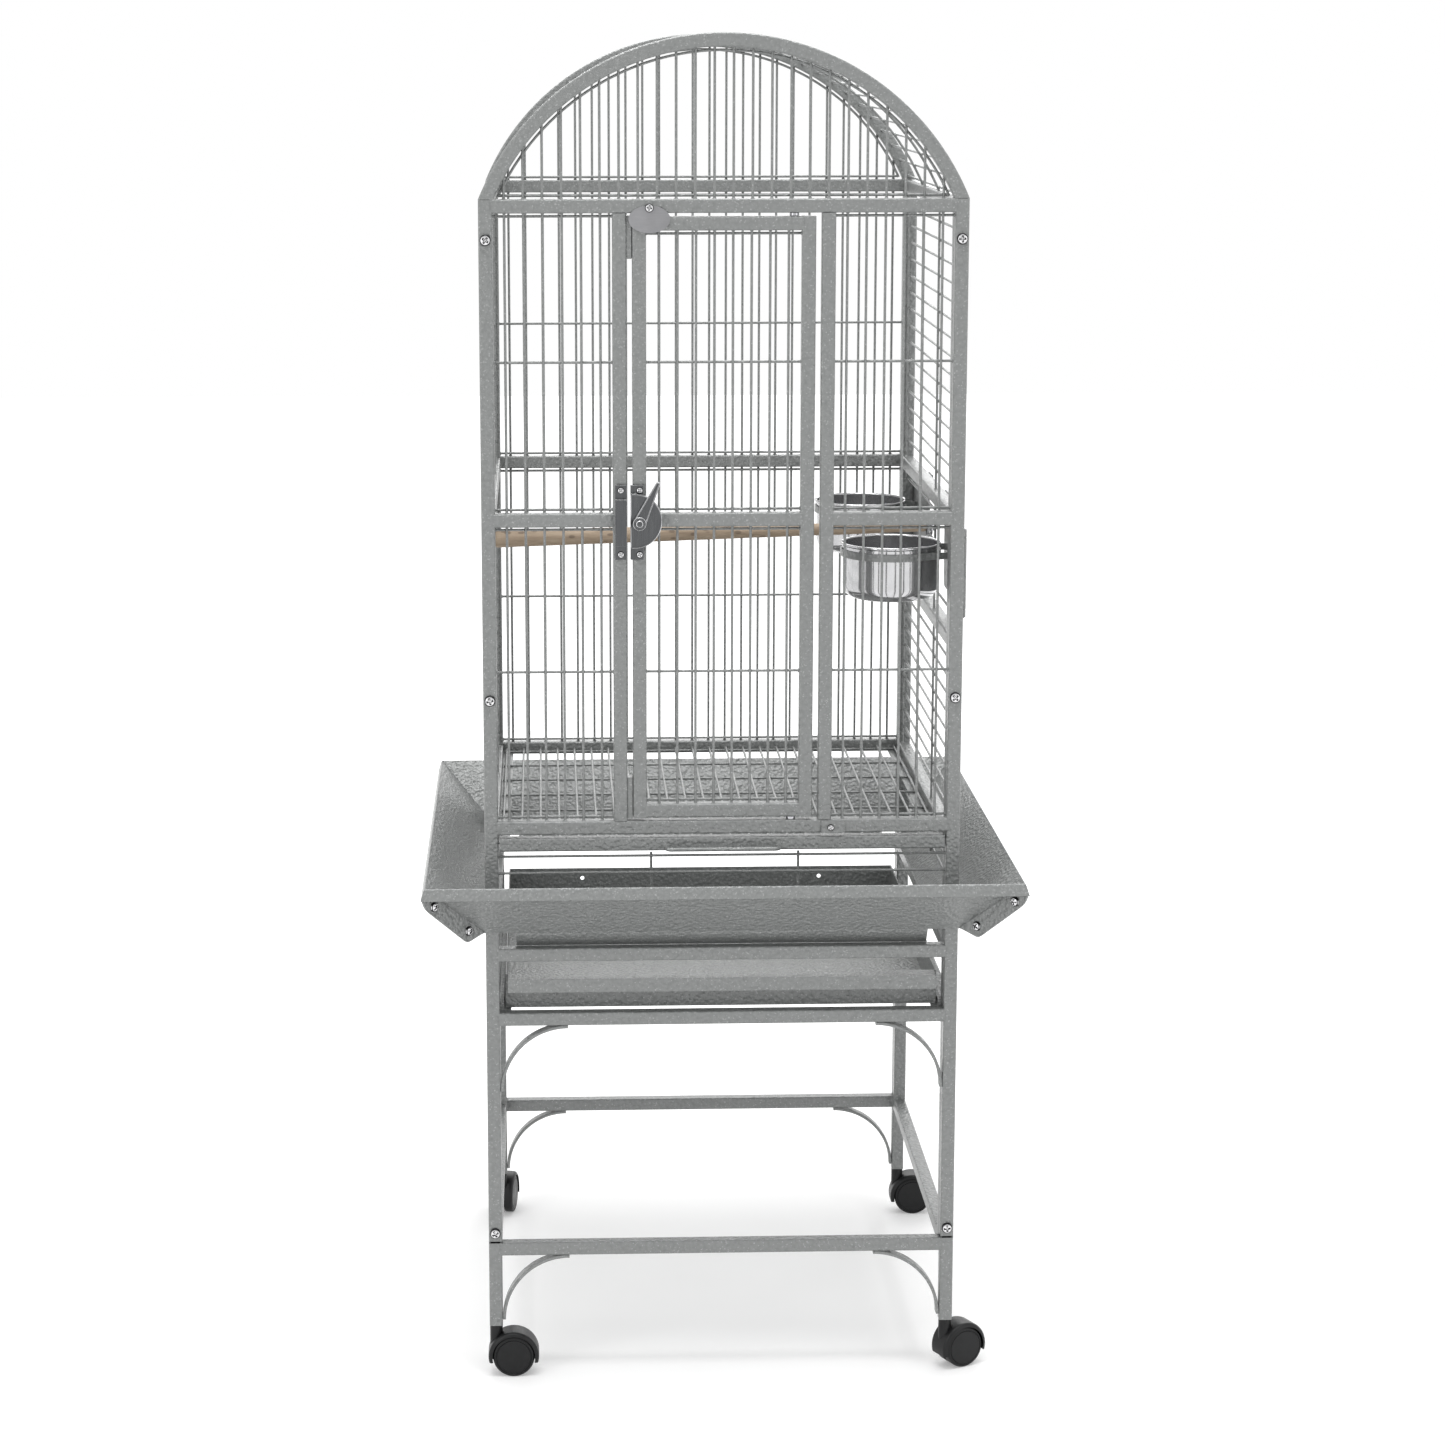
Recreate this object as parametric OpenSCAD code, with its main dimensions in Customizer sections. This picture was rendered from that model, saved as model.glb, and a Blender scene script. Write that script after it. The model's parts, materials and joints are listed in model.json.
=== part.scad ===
// Dome-top bird cage on a rolling stand: welded square-tube frames filled with wire grilles,
// a pivoting front door with a lever latch, two swing-out feeder doors with lift-out bowls,
// a wood perch, a pull-out floor grate, a pull-out tray, four seed guards and four twin-wheel casters.
// X runs to the viewer's right, Y to the back, Z up. The origin is on the floor under the centre.

/* [Cage] */
// Outer width of the cage body
cage_w = 457; // [440:1:520]
// Outer depth of the cage body
cage_d = 457; // [440:1:520]
// Height of the dome above the rail under it
dome_rise = 152; // [130:1:190]
// Underside of the rail under the dome
eave_z = 1139; // [1120:1:1150]
// Underside of the rail at mid height
waist_z = 845; // [843:1:860]
// Underside of the rail under the front door
sill_z = 547.5; // [546:0.5:556]
// Underside of the front bar of the floor grate
grate_z = 531; // [528:0.5:532]
// Underside of the feeder rail in the right side
feeder_rail_z = 725; // [700:1:730]

/* [Tube] */
// Side of the square tube
tube = 13; // [12:0.5:15]
// Wall of the square tube
tube_wall = 1.1; // [0.8:0.1:1.4]
// Gap left at a welded butt joint
seam = 0.05; // [0.03:0.01:0.1]

/* [Wire] */
// Thickness of the grille wires
wire = 2.5; // [2:0.1:3]
// Depth to which crossing wires melt into each other
weld = 0.3; // [0.2:0.05:0.5]
// Distance between the bars
bar_pitch = 17.8; // [16:0.1:20]
// Distance between the bars of the door
door_bar_pitch = 17.35; // [16:0.05:18]
// Distance from a rail to the wire that borders a grille
border = 3; // [2.5:0.5:5]
// Height of the upper cross wire
upper_cross_z = 1000; // [980:1:1020]
// Height of the lower cross wire
lower_cross_z = 705; // [690:1:715]
// Distance of a side grille's upright wires from the middle
side_upright_y = 68.5; // [66:0.5:72]

/* [Stand] */
// Underside of the rail that the seed guards sit on
guard_rail_z = 422; // [415:1:430]
// Underside of the rail under the tray
tray_rail_z = 357.5; // [345:0.5:360]
// Underside of the base rails
base_z = 123.5; // [110:0.5:140]
// Bottom of the legs
leg_z = 53; // [52:0.5:60]
// Radius of a corner brace
brace_r = 66; // [50:1:80]
// Thickness of a corner brace
brace_t = 3; // [2:0.5:4]
// Depth of a corner brace
brace_w = 12; // [8:0.5:12.5]

/* [Door] */
// Outer width of the front door
door_w = 171.5; // [165:0.5:175]
// Gap from the door's edge to a door post
door_side_gap = 5.55; // [4:0.05:7]
// Gap over and under the door
door_gap = 3.2; // [3:0.1:5]
// Distance of the hinge pins in from the door's edge
hinge_in = 20.15; // [18:0.05:24]
// Radius of a hinge pin
hinge_r = 2.5; // [2:0.1:3]
// Radial clearance of a hinge pin in its running hole
pin_clear = 0.05; // [0.03:0.01:0.09]

/* [Latch] */
// Height of the latch lever's pivot
latch_z = 850; // [848:1:852]
// Height of the latch plates
latch_h = 71; // [66:1:76]
// Depth of the latch housing
latch_depth = 9; // [8:0.5:11]
// Radius of the latch drum
drum_r = 25.8; // [24:0.2:27]
// Overhang of the latch housing past the door's edge
latch_over = 2.25; // [1:0.05:3]
// Travel of the latch bolt
bolt_throw = 9; // [7:0.5:9.5]
// Height of the latch bolt
bolt_h = 10; // [8:0.5:12]

/* [Feeders] */
// Radius of a bowl at its rim
bowl_r = 48.6; // [46:0.1:48.8]
// Height of a bowl
bowl_h = 54.5; // [50:0.5:56]
// Height of a bowl's rim
bowl_top = 819; // [817:0.5:822]
// Wall of a bowl
bowl_wall = 1; // [0.8:0.1:1.2]
// Distance of a bowl from its door's hinge
bowl_reach = 57; // [56:0.5:58]
// Gap from a bowl's rim to the rails of the side
bowl_gap = 0.4; // [0.3:0.1:1]
// Height of a feeder door's plate
plate_h = 69; // [66:1:72]
// Height of the middle of a feeder door's plate
plate_z = 795.5; // [794:0.5:797]
// Thickness of the feeder plates and straps
plate_t = 1.2; // [1:0.1:1.3]
// Height of the strap that carries a bowl
strap_h = 7; // [5:0.5:9]

/* [Perch] */
// Radius of the perch at its thick end
perch_r1 = 9.3; // [8:0.1:10]
// Radius of the perch at its thin end
perch_r2 = 5.2; // [4.5:0.1:6.5]
// Height of the perch's thick end
perch_z1 = 801; // [799:0.5:803]
// Height of the perch's thin end
perch_z2 = 811; // [809:0.5:813]

/* [Floor and tray] */
// Distance between the cross wires of the floor grate
grate_cross_pitch = 70; // [50:1:80]
// Gap from the floor grate to the side rails
grate_gap = 1.5; // [1:0.1:3]
// Gap from the tray to the side rails
tray_side_gap = 5.5; // [5:0.5:10]
// Height of the tray's walls
tray_h = 33.5; // [26:0.5:40]
// Distance that the tray's lip reaches out from its front wall
tray_lip = 19; // [12:0.5:24]
// Height of the lip's folded edge
tray_lip_h = 13.4; // [8:0.2:16]
// Sheet thickness of the tray
tray_t = 1.2; // [0.8:0.1:1.5]

/* [Seed guards] */
// Distance that the guards reach out from the cage
guard_out = 60; // [50:1:70]
// Height of the guards' rims
guard_rim_z = 509.5; // [504:0.5:512]
// Height of the guards where they meet the frames
guard_low_z = 451; // [448:1:456]
// Sheet thickness of the guards
guard_t = 1; // [0.8:0.1:1.2]
// Height of the edge that is folded down at the rim
rim_h = 11; // [8:0.5:13]
// Distance that the folded edge stands out
rim_out = 4; // [2:0.5:6]

/* [Casters] */
// Radius of a wheel
wheel_r = 20.5; // [18:0.5:20.5]
// Width of a wheel
wheel_w = 10.5; // [9:0.5:11]
// Outer radius of a caster's hood
hood_r = 25; // [24.5:0.1:26]
// Width of a caster's hood
hood_w = 26; // [25.5:0.5:30]
// Distance from a caster's swivel axis to its axle
trail = 17; // [16:0.5:18]
// Radius of a caster's axle
axle_r = 2.5; // [2:0.1:3]
// Radius of a caster's stem
stem_r = 4; // [3.5:0.1:4.2]

/* [Fasteners] */
// Shank radius of the frame bolts
bolt_r = 2.4; // [2:0.1:2.5]
// Head radius of the frame bolts
bolt_head_r = 5.3; // [4.5:0.1:5.5]
// Shank radius of the small screws
screw_r = 1.5; // [1.2:0.1:1.8]
// Head radius of the small screws
screw_head_r = 3.2; // [2.8:0.1:3.4]

/* [Hidden] */
$fn = 64;

// Colours
paint = [0.56, 0.57, 0.57];
chrome = [0.85, 0.85, 0.87];
steel = [0.75, 0.76, 0.78];
gunmetal = [0.36, 0.37, 0.38];
black = [0.04, 0.04, 0.045];
timber = [0.62, 0.52, 0.42];

// Frame
hw = cage_w / 2;
hd = cage_d / 2;
post_x = hw - tube / 2;
post_y = hd - tube / 2;
side_post_y = hd - 1.5 * tube;
inner_x = hw - tube;
inner_y = hd - tube;
bay_y = hd - 2 * tube;
base_top = base_z + tube;
eave_top = eave_z + tube;
sill_top = sill_z + tube;
waist_top = waist_z + tube;
grate_top = grate_z + tube;
guard_rail_top = guard_rail_z + tube;
tray_rail_top = tray_rail_z + tube;
frame_bolt_z = [base_top + 10.5, 679, eave_z - 24.5];
hole_r = bolt_r + 0.2;

// Dome: its outer arc passes over the posts' outer edges
dome_top = eave_top + dome_rise;
dome_r = (dome_rise * dome_rise + hw * hw) / (2 * dome_rise);
dome_z = dome_top - dome_r;
dome_in_r = dome_r - tube;
dome_bar_r = dome_r - tube / 2;
dome_end_a = asin((hw - tube / 2) / dome_bar_r) - 1.2;
dome_bars_n = 2 * floor(dome_end_a * PI / 180 * dome_bar_r / bar_pitch) + 1;

// Wires: eight-sided, with a flat on each side
wire_corner_r = wire / 2 / cos(22.5);
cross_step = wire - weld;
grille_y = hd - tube / 2;
grille_x = hw - tube / 2;

// Door
door_z0 = sill_top + door_gap;
door_z1 = eave_z - door_gap;
door_hw = door_w / 2;
door_post_x = door_hw + door_side_gap;
hinge_x = door_hw - hinge_in;
collar_r = hinge_r + 2;
collar_gap = 0.3;
stop_t = 1.5;
stop_h = 40;
stop_gap = 0.5;

// Badge: an oval plate on the eave rail
badge_x = -door_hw + 16;
badge_w = 39;
badge_h = 25.6;
badge_t = 1.2;
badge_gap = 0.5;
badge_screw_z = eave_z + 5;
badge_z = badge_screw_z - 10.6;
badge_lug_r = 4;
badge_head_r = 4.1;

// Latch: the housing is on the door and the keeper on the post
stile_x = -door_hw + tube / 2;
latch_edge_x = door_hw + latch_over;
keeper_x1 = -door_post_x - 0.2;
keeper_w = 11;
keeper_t = 8;
keeper_rise = 22;
keeper_screw_x = door_post_x + 0.2 + keeper_w / 2;
plate_base_t = 3;
lever_x = stile_x - 0.35;
lever_t = 5;
lever_boss_r = 6.4;
lever_tip_r = 2.2;
lever_reach = 41;
lever_a = 25;
lever_shaft_r = 2.5;
drum_x = lever_x - 4.4;
drum_z = latch_z + 1.8;
bolt_t = 3;
bolt_len = 18;
bolt_front = 2.5;
slide_gap = 0.25;
latch_screw_dz = 30.5;
latch_screw_z = [latch_z - latch_screw_dz, latch_z + latch_screw_dz];

// Feeders: each door is hinged on a side post
feeder_hinge_y = side_post_y;
bowl_y = feeder_hinge_y - bowl_reach;
bowl_x = inner_x - bowl_gap - bowl_r;
bowl_body_r = bowl_r - 2;
bowl_foot_r = bowl_body_r - 12;
ring_gap = 0.6;
ring_t = 1.5;
ring_r = bowl_body_r + ring_gap;
rim_bead = 2.4;
ring_top = bowl_top - rim_bead - 4.2;
knuckle_r = 2.2;
feeder_pin_r = 1.1;
feeder_hinge_x = hw + knuckle_r + 0.3;
plate_x = hw + 0.7;
plate_z0 = plate_z - plate_h / 2;
plate_z1 = plate_z + plate_h / 2;
plate_end_y = side_upright_y - 2.5;
opening_gap = 3.5;
opening_z0 = plate_z0 - opening_gap - wire / 2;
opening_z1 = plate_z1 + opening_gap + wire / 2;
catch_y = side_upright_y + 15.5;
catch_len = 33;
catch_w = 9;
catch_x = plate_x + plate_t + 0.2;
catch_z = waist_z + tube / 2;

// Floor and tray
tray_w = 2 * (inner_x - tray_side_gap);
tray_hole_x = tray_w / 2 - 80;
runner_t = 1.2;
runner_gap = 0.15;
runner_w = 11;
grate_wire_z = grate_z + tube / 2;
grate_cross_z = grate_wire_z - cross_step;
grate_hx = inner_x - grate_gap;
grate_back_y = inner_y - 3;
tab_x = door_post_x + tube - 0.5;
tab_z = sill_z + tube * 0.42;
tab_w = 14;
tab_down = tab_z - grate_wire_z - wire / 2 - 0.5;
tab_up = 9;
tab_t = 1.5;
tab_gap = 0.4;
tray_z = tray_rail_top + runner_gap;
tray_front_y = tray_lip - hd + 1;
tray_back_y = inner_y - 7;
guide_w = 4;
guide_h = 6;
apron_drop = 6;
apron_step = 16.5;
apron_x = [-side_upright_y, hinge_x + 7.8];
apron_z = [grate_z - apron_drop, grate_z - apron_drop - apron_step, grate_z - apron_drop - 2 * apron_step];

// Seed guards
guard_gap = 0.4;
guard_rise_t = guard_t * 1.4;
guard_bend_u = guard_out - rim_out;
tongue_x = inner_x - 16.5;
mitre_cut = 5 * guard_out;
spigot_h = 30;
flange_gap = 0.15;
guard_bolt_u = [guard_out * 0.27, guard_out * 0.8];
guard_bolt_drop = 9.4;

// Casters: each is turned about its stem by its own angle
caster_a = [0, 27, 80, 0];
socket_gap = 0.1;
socket_h = 30;
socket_flange = 1.2;
hood_t = 3;
web_t = 3;
neck_r = 6.3;
hood_cut_z = 14;

// ---- building blocks ----

module tube_x(x0, x1, y, z) {
  translate([x0, y - tube / 2, z]) difference() {
    cube([x1 - x0, tube, tube]);
    translate([-1, tube_wall, tube_wall]) cube([x1 - x0 + 2, tube - 2 * tube_wall, tube - 2 * tube_wall]);
  }
}

module tube_y(x, y0, y1, z) {
  translate([x - tube / 2, y0, z]) difference() {
    cube([tube, y1 - y0, tube]);
    translate([tube_wall, -1, tube_wall]) cube([tube - 2 * tube_wall, y1 - y0 + 2, tube - 2 * tube_wall]);
  }
}

module tube_z(x, y, z0, z1) {
  translate([x - tube / 2, y - tube / 2, z0]) difference() {
    cube([tube, tube, z1 - z0]);
    translate([tube_wall, tube_wall, -1]) cube([tube - 2 * tube_wall, tube - 2 * tube_wall, z1 - z0 + 2]);
  }
}

module bored_post(x, y, z0, z1) {
  difference() {
    tube_z(x, y, z0, z1);
    for (z = frame_bolt_z) translate([x, y + tube, z]) rotate([90, 0, 0]) cylinder(r = hole_r, h = 2 * tube);
  }
}

module wire_z(x, y, z0, z1) {
  translate([x, y, z0]) rotate(22.5) cylinder(r = wire_corner_r, h = z1 - z0, $fn = 8);
}

module wire_x(x0, x1, y, z) {
  translate([x0, y, z]) rotate([0, 90, 0]) rotate(22.5) cylinder(r = wire_corner_r, h = x1 - x0, $fn = 8);
}

module wire_y(x, y0, y1, z) {
  translate([x, y0, z]) rotate([-90, 0, 0]) rotate(22.5) cylinder(r = wire_corner_r, h = y1 - y0, $fn = 8);
}

// Upright bars at xs, with cross wires at zs on the inner side of the bars
module front_grille(xs, x0, x1, z0, z1, zs, y, inward) {
  for (x = xs) wire_z(x, y, z0 + seam, z1 - seam);
  for (z = zs) wire_x(x0 + seam, x1 - seam, y + inward * cross_step, z);
}

// Level bars at zs, with upright wires at ys on the inner side of the bars
module side_grille(zs, y0, y1, z0, z1, ys, x, inward) {
  for (z = zs) wire_y(x, y0 + seam, y1 - seam, z);
  for (y = ys) wire_z(x + inward * cross_step, y, z0 + seam, z1 - seam);
}

// Places, evenly spaced by pitch and centred between two ends
function centred(a, b, n, pitch) = [for (i = [0 : n - 1]) (a + b) / 2 + (i - (n - 1) / 2) * pitch];
function spread(a, b, n) = [for (i = [1 : n]) a + (b - a) * i / (n + 1)];
function count_between(a, b, pitch) = max(1, round((b - a) / pitch) - 1);

module pan_head(r, h) {
  rotate_extrude() polygon(concat(
    [[0, 0], [r, 0], [r, h * 0.35]],
    [for (a = [15 : 15 : 75]) [r * (0.55 + 0.45 * cos(a)), h * (0.35 + 0.65 * sin(a))]],
    [[r * 0.55, h], [0, h]]
  ));
}

// Cross-head bolt: the head's underside is at the origin and the shank runs down
module cross_bolt(r, head_r, head_h, shank) {
  difference() {
    union() {
      pan_head(head_r, head_h);
      translate([0, 0, -shank]) cylinder(r = r, h = shank + 0.1);
    }
    for (a = [45, 135]) rotate(a) translate([-head_r * 0.5, -0.45, head_h * 0.45]) cube([head_r, 0.9, head_h]);
  }
}

module nut(r, across, h) {
  difference() {
    cylinder(r = across / 2 / cos(30), h = h, $fn = 6);
    translate([0, 0, -1]) cylinder(r = r + 0.03, h = h + 2);
  }
}

// A strap with square ends between two points in plan, from height z0
module strap(p, q, t, z0, h) {
  run = norm(q - p);
  translate([p[0], p[1], z0]) rotate(atan2(q[1] - p[1], q[0] - p[0])) translate([0, -t / 2, 0]) cube([run, t, h]);
}

// ---- frames ----

module front_panel() {
  for (s = [-1, 1]) bored_post(s * post_x, -post_y, base_top + seam, eave_top);
  for (z = [guard_rail_z, tray_rail_z]) tube_x(-inner_x + seam, inner_x - seam, -post_y, z);
}

module front_frame() color(paint) {
  front_panel();
  difference() {
    union() {
      tube_x(-inner_x + seam, inner_x - seam, -post_y, eave_z);
      tube_x(-inner_x + seam, inner_x - seam, -post_y, sill_z);
    }
    translate([hinge_x, -post_y, sill_z + tube / 2]) cylinder(r = hinge_r + 0.02, h = eave_z - sill_z);
    translate([tab_x, -post_y, tab_z]) rotate([90, 0, 0]) cylinder(r = screw_r + 0.05, h = tube);
    translate([badge_x, -post_y, badge_screw_z]) rotate([90, 0, 0]) cylinder(r = screw_r + 0.05, h = tube);
  }
  for (s = [-1, 1]) {
    difference() {
      tube_z(s * (door_post_x + tube / 2), -post_y, sill_top + seam, eave_z - seam);
      for (z = latch_screw_z) translate([-keeper_screw_x, -post_y, z]) rotate([90, 0, 0])
        cylinder(r = screw_r + 0.05, h = tube);
    }
    tube_x(min(s * (door_post_x + tube + seam), s * (inner_x - seam)),
           max(s * (door_post_x + tube + seam), s * (inner_x - seam)), -post_y, waist_z);
  }
}

module rear_frame() color(paint) {
  mirror([0, 1, 0]) front_panel();
  for (z = [eave_z, waist_z, grate_z]) tube_x(-inner_x + seam, inner_x - seam, post_y, z);
}

module side_frame(s, rails) {
  for (e = [-1, 1]) bored_post(s * post_x, e * side_post_y, base_top + seam, eave_top);
  for (z = rails) tube_y(s * post_x, -bay_y + seam, bay_y - seam, z);
}

module left_frame() color(paint) difference() {
  side_frame(-1, [eave_z, waist_z, grate_z, guard_rail_z, tray_rail_z]);
}

module right_frame() color(paint) difference() {
  side_frame(1, [eave_z, waist_z, feeder_rail_z, grate_z, guard_rail_z, tray_rail_z]);
  for (e = [-1, 1]) translate([post_x, e * catch_y, catch_z]) rotate([0, 90, 0])
    cylinder(r = screw_r + 0.05, h = tube);
}

module arch(side) {
  difference() {
    translate([0, side * post_y + tube / 2, dome_z]) rotate([90, 0, 0]) difference() {
      cylinder(r = dome_r, h = tube, $fn = 160);
      translate([0, 0, -1]) cylinder(r = dome_in_r, h = tube + 2, $fn = 160);
    }
    translate([-dome_r - 1, side * post_y - tube, dome_z - dome_r - 1])
      cube([2 * dome_r + 2, 2 * tube, eave_top + seam - dome_z + dome_r + 1]);
  }
}

module front_arch() color(paint) arch(-1);
module rear_arch() color(paint) arch(1);

// ---- grilles of the body ----

lower_lines = [sill_top + border, lower_cross_z, waist_z - border];
upper_lines = [waist_top + border, upper_cross_z, eave_z - border];

module front_section(s) {
  a = min(s * (door_post_x + tube), s * inner_x);
  b = max(s * (door_post_x + tube), s * inner_x);
  xs = centred(a, b, floor((b - a) / bar_pitch), bar_pitch);
  front_grille(xs, a, b, sill_top, waist_z, lower_lines, -grille_y, 1);
  front_grille(xs, a, b, waist_top, eave_z, upper_lines, -grille_y, 1);
}

module front_left_bars() color(paint) front_section(-1);
module front_right_bars() color(paint) front_section(1);

wall_bars = centred(-inner_x, inner_x, floor(2 * inner_x / bar_pitch), bar_pitch);

module rear_bars() color(paint) {
  rear_low = [grate_top + border, lower_cross_z, waist_z - border];
  front_grille(wall_bars, -inner_x, inner_x, grate_top, waist_z, rear_low, grille_y, -1);
  front_grille(wall_bars, -inner_x, inner_x, waist_top, eave_z, upper_lines, grille_y, -1);
}

function under_arch(x) = dome_z + sqrt(pow(dome_in_r, 2) - pow(abs(x) + wire, 2)) - seam;

module gable_bars(side) {
  hoop_r = dome_in_r - border;
  y = side * grille_y;
  back = -side * cross_step;
  low = eave_top + border;
  for (x = wall_bars) if (abs(x) < inner_x - border) wire_z(x, y, eave_top + seam, under_arch(x));
  reach = sqrt(pow(hoop_r, 2) - pow(low - dome_z, 2));
  wire_x(-reach, reach, y + back, low);
  difference() {
    translate([0, y - side * (wire + seam), dome_z]) rotate([90, 0, 0]) rotate_extrude($fn = 160)
      translate([hoop_r, 0]) rotate(22.5) circle(r = wire_corner_r, $fn = 8);
    translate([-dome_r, y + back - 5, dome_z - dome_r]) cube([2 * dome_r, 10, low - dome_z + dome_r]);
  }
}

module front_dome_bars() color(paint) gable_bars(-1);
module rear_dome_bars() color(paint) gable_bars(1);

side_uprights = [-bay_y + border, -side_upright_y, side_upright_y, bay_y - border];

module left_bars() color(paint) {
  low = spread(grate_top, waist_z, count_between(grate_top, waist_z, bar_pitch));
  high = spread(waist_top, eave_z, count_between(waist_top, eave_z, bar_pitch));
  side_grille(low, -bay_y, bay_y, grate_top, waist_z, side_uprights, -grille_x, 1);
  side_grille(high, -bay_y, bay_y, waist_top, eave_z, side_uprights, -grille_x, 1);
}

module right_bars() color(paint) {
  rail_top = feeder_rail_z + tube;
  low = spread(grate_top, feeder_rail_z, count_between(grate_top, feeder_rail_z, bar_pitch));
  high = spread(waist_top, eave_z, count_between(waist_top, eave_z, bar_pitch));
  mid = spread(opening_z0, opening_z1, 4);
  side_grille(low, -bay_y, bay_y, grate_top, feeder_rail_z, side_uprights, grille_x, -1);
  side_grille(high, -bay_y, bay_y, waist_top, eave_z, side_uprights, grille_x, -1);
  side_grille([opening_z0], -bay_y, bay_y, rail_top, opening_z0 + wire / 2, side_uprights, grille_x, -1);
  side_grille([opening_z1], -bay_y, bay_y, opening_z1 - wire / 2, waist_z, side_uprights, grille_x, -1);
  side_grille(mid, -side_upright_y - wire, side_upright_y + wire, opening_z0 + wire / 2, opening_z1 - wire / 2,
              [-side_upright_y, side_upright_y], grille_x, -1);
}

module dome_bars() color(paint)
  for (i = [0 : dome_bars_n - 1]) {
    a = -dome_end_a + 2 * dome_end_a * i / (dome_bars_n - 1);
    translate([0, 0, dome_z]) rotate([0, a, 0]) wire_y(0, -inner_y + seam, inner_y - seam, dome_bar_r);
  }

module dome_hoops() color(paint)
  for (y = [-side_upright_y, side_upright_y]) difference() {
    translate([0, y, dome_z]) rotate([90, 0, 0]) rotate_extrude($fn = 160)
      translate([dome_bar_r - wire - seam, 0]) rotate(22.5) circle(r = wire_corner_r, $fn = 8);
    translate([-dome_r, y - 5, dome_z - dome_r]) cube([2 * dome_r, 10, eave_top + seam - dome_z + dome_r]);
  }

module apron_wires() color(paint) {
  for (z = apron_z) wire_x(-inner_x + seam, inner_x - seam, -grille_y, z);
  for (x = apron_x) wire_z(x, -grille_y + cross_step, apron_z[2] - 3, apron_z[0] + 3);
  for (s = [-1, 1]) {
    for (z = apron_z) wire_y(s * grille_x, -bay_y + seam, bay_y - seam, z);
    for (y = [-side_upright_y, side_upright_y])
      wire_z(s * (grille_x - cross_step), y, apron_z[2] - 3, apron_z[0] + 3);
  }
}

// ---- stand ----

module leg(sx, sy) {
  tube_z(sx * post_x, sy * post_y, leg_z, base_top);
  spigot = tube - 2 * tube_wall - 2 * socket_gap;
  difference() {
    translate([sx * post_x - spigot / 2, sy * post_y - spigot / 2, base_top - spigot_h])
      cube([spigot, spigot, 2 * spigot_h]);
    translate([sx * post_x, sy * post_y + tube, frame_bolt_z[0]]) rotate([90, 0, 0])
      cylinder(r = hole_r, h = 2 * tube);
  }
}

module base_frame() color(paint) {
  for (sx = [-1, 1], sy = [-1, 1]) leg(sx, sy);
  for (s = [-1, 1]) {
    tube_x(-inner_x + seam, inner_x - seam, s * post_y, base_z);
    tube_y(s * post_x, -inner_y + seam, inner_y - seam, base_z);
  }
}

// A quarter-circle strip under a rail, from the rail round to the post
module brace(sx, sy, z) {
  cx = sx * (inner_x - brace_r - seam);
  translate([cx, sy * post_y + brace_w / 2, z - brace_r - seam]) rotate([90, 0, 0]) intersection() {
    difference() {
      cylinder(r = brace_r, h = brace_w);
      translate([0, 0, -1]) cylinder(r = brace_r - brace_t, h = brace_w + 2);
    }
    translate([sx > 0 ? 0 : -brace_r - 1, 0, -1]) cube([brace_r + 1, brace_r + 1, brace_w + 2]);
  }
}

module stand_braces() color(paint)
  for (sx = [-1, 1], sy = [-1, 1], z = [tray_rail_z, base_z]) brace(sx, sy, z);

module frame_bolts() color(chrome)
  for (sx = [-1, 1], sy = [-1, 1], z = frame_bolt_z)
    translate([sx * post_x, sy * (hd + seam), z]) rotate([sy < 0 ? 90 : -90, 0, 0])
      cross_bolt(bolt_r, bolt_head_r, 3.4, 2 * tube - 2);

// ---- seed guards ----

// Height of a guard's underside at a distance out from the cage
function guard_slope(u) = guard_low_z + (guard_rim_z - guard_rise_t - guard_low_z) * u / guard_bend_u;

module guard_section(u0) polygon([
  [u0, guard_slope(u0)], [guard_bend_u - 0.3, guard_slope(guard_bend_u - 0.3)],
  [guard_out - guard_t, guard_rim_z - rim_h], [guard_out, guard_rim_z - rim_h],
  [guard_bend_u + guard_t * 0.8, guard_rim_z - 0.3], [guard_bend_u, guard_rim_z],
  [u0, guard_slope(u0) + guard_rise_t]
]);

// One guard, built on the -Y side of a cage that is w wide and d deep
module guard(w, d) {
  far = w / 2 + guard_out;
  difference() {
    translate([-far, -d / 2, 0]) rotate([90, 0, 90]) linear_extrude(2 * far) mirror([1, 0])
      guard_section(guard_gap);
    for (s = [-1, 1]) translate([s * (w / 2 + guard_gap), -d / 2 - guard_gap, guard_low_z - 40])
      rotate(s > 0 ? -45 : -135) translate([0, s > 0 ? -flange_gap / 2 : flange_gap / 2 - mitre_cut, 0])
        cube([mitre_cut, mitre_cut, mitre_cut]);
  }
  translate([-tongue_x, -d / 2, 0]) rotate([90, 0, 90]) linear_extrude(2 * tongue_x) mirror([1, 0])
    polygon([[guard_gap, guard_slope(guard_gap)], [guard_gap, guard_slope(guard_gap) + guard_rise_t],
             [1 - tube, guard_rail_top + 0.3 + guard_rise_t], [1 - tube, guard_rail_top + 0.3]]);
  for (s = [-1, 1]) translate([s * (w / 2 + guard_gap), -d / 2 - guard_gap, 0]) rotate(s > 0 ? -45 : -135)
    guard_flange(s);
}

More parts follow.
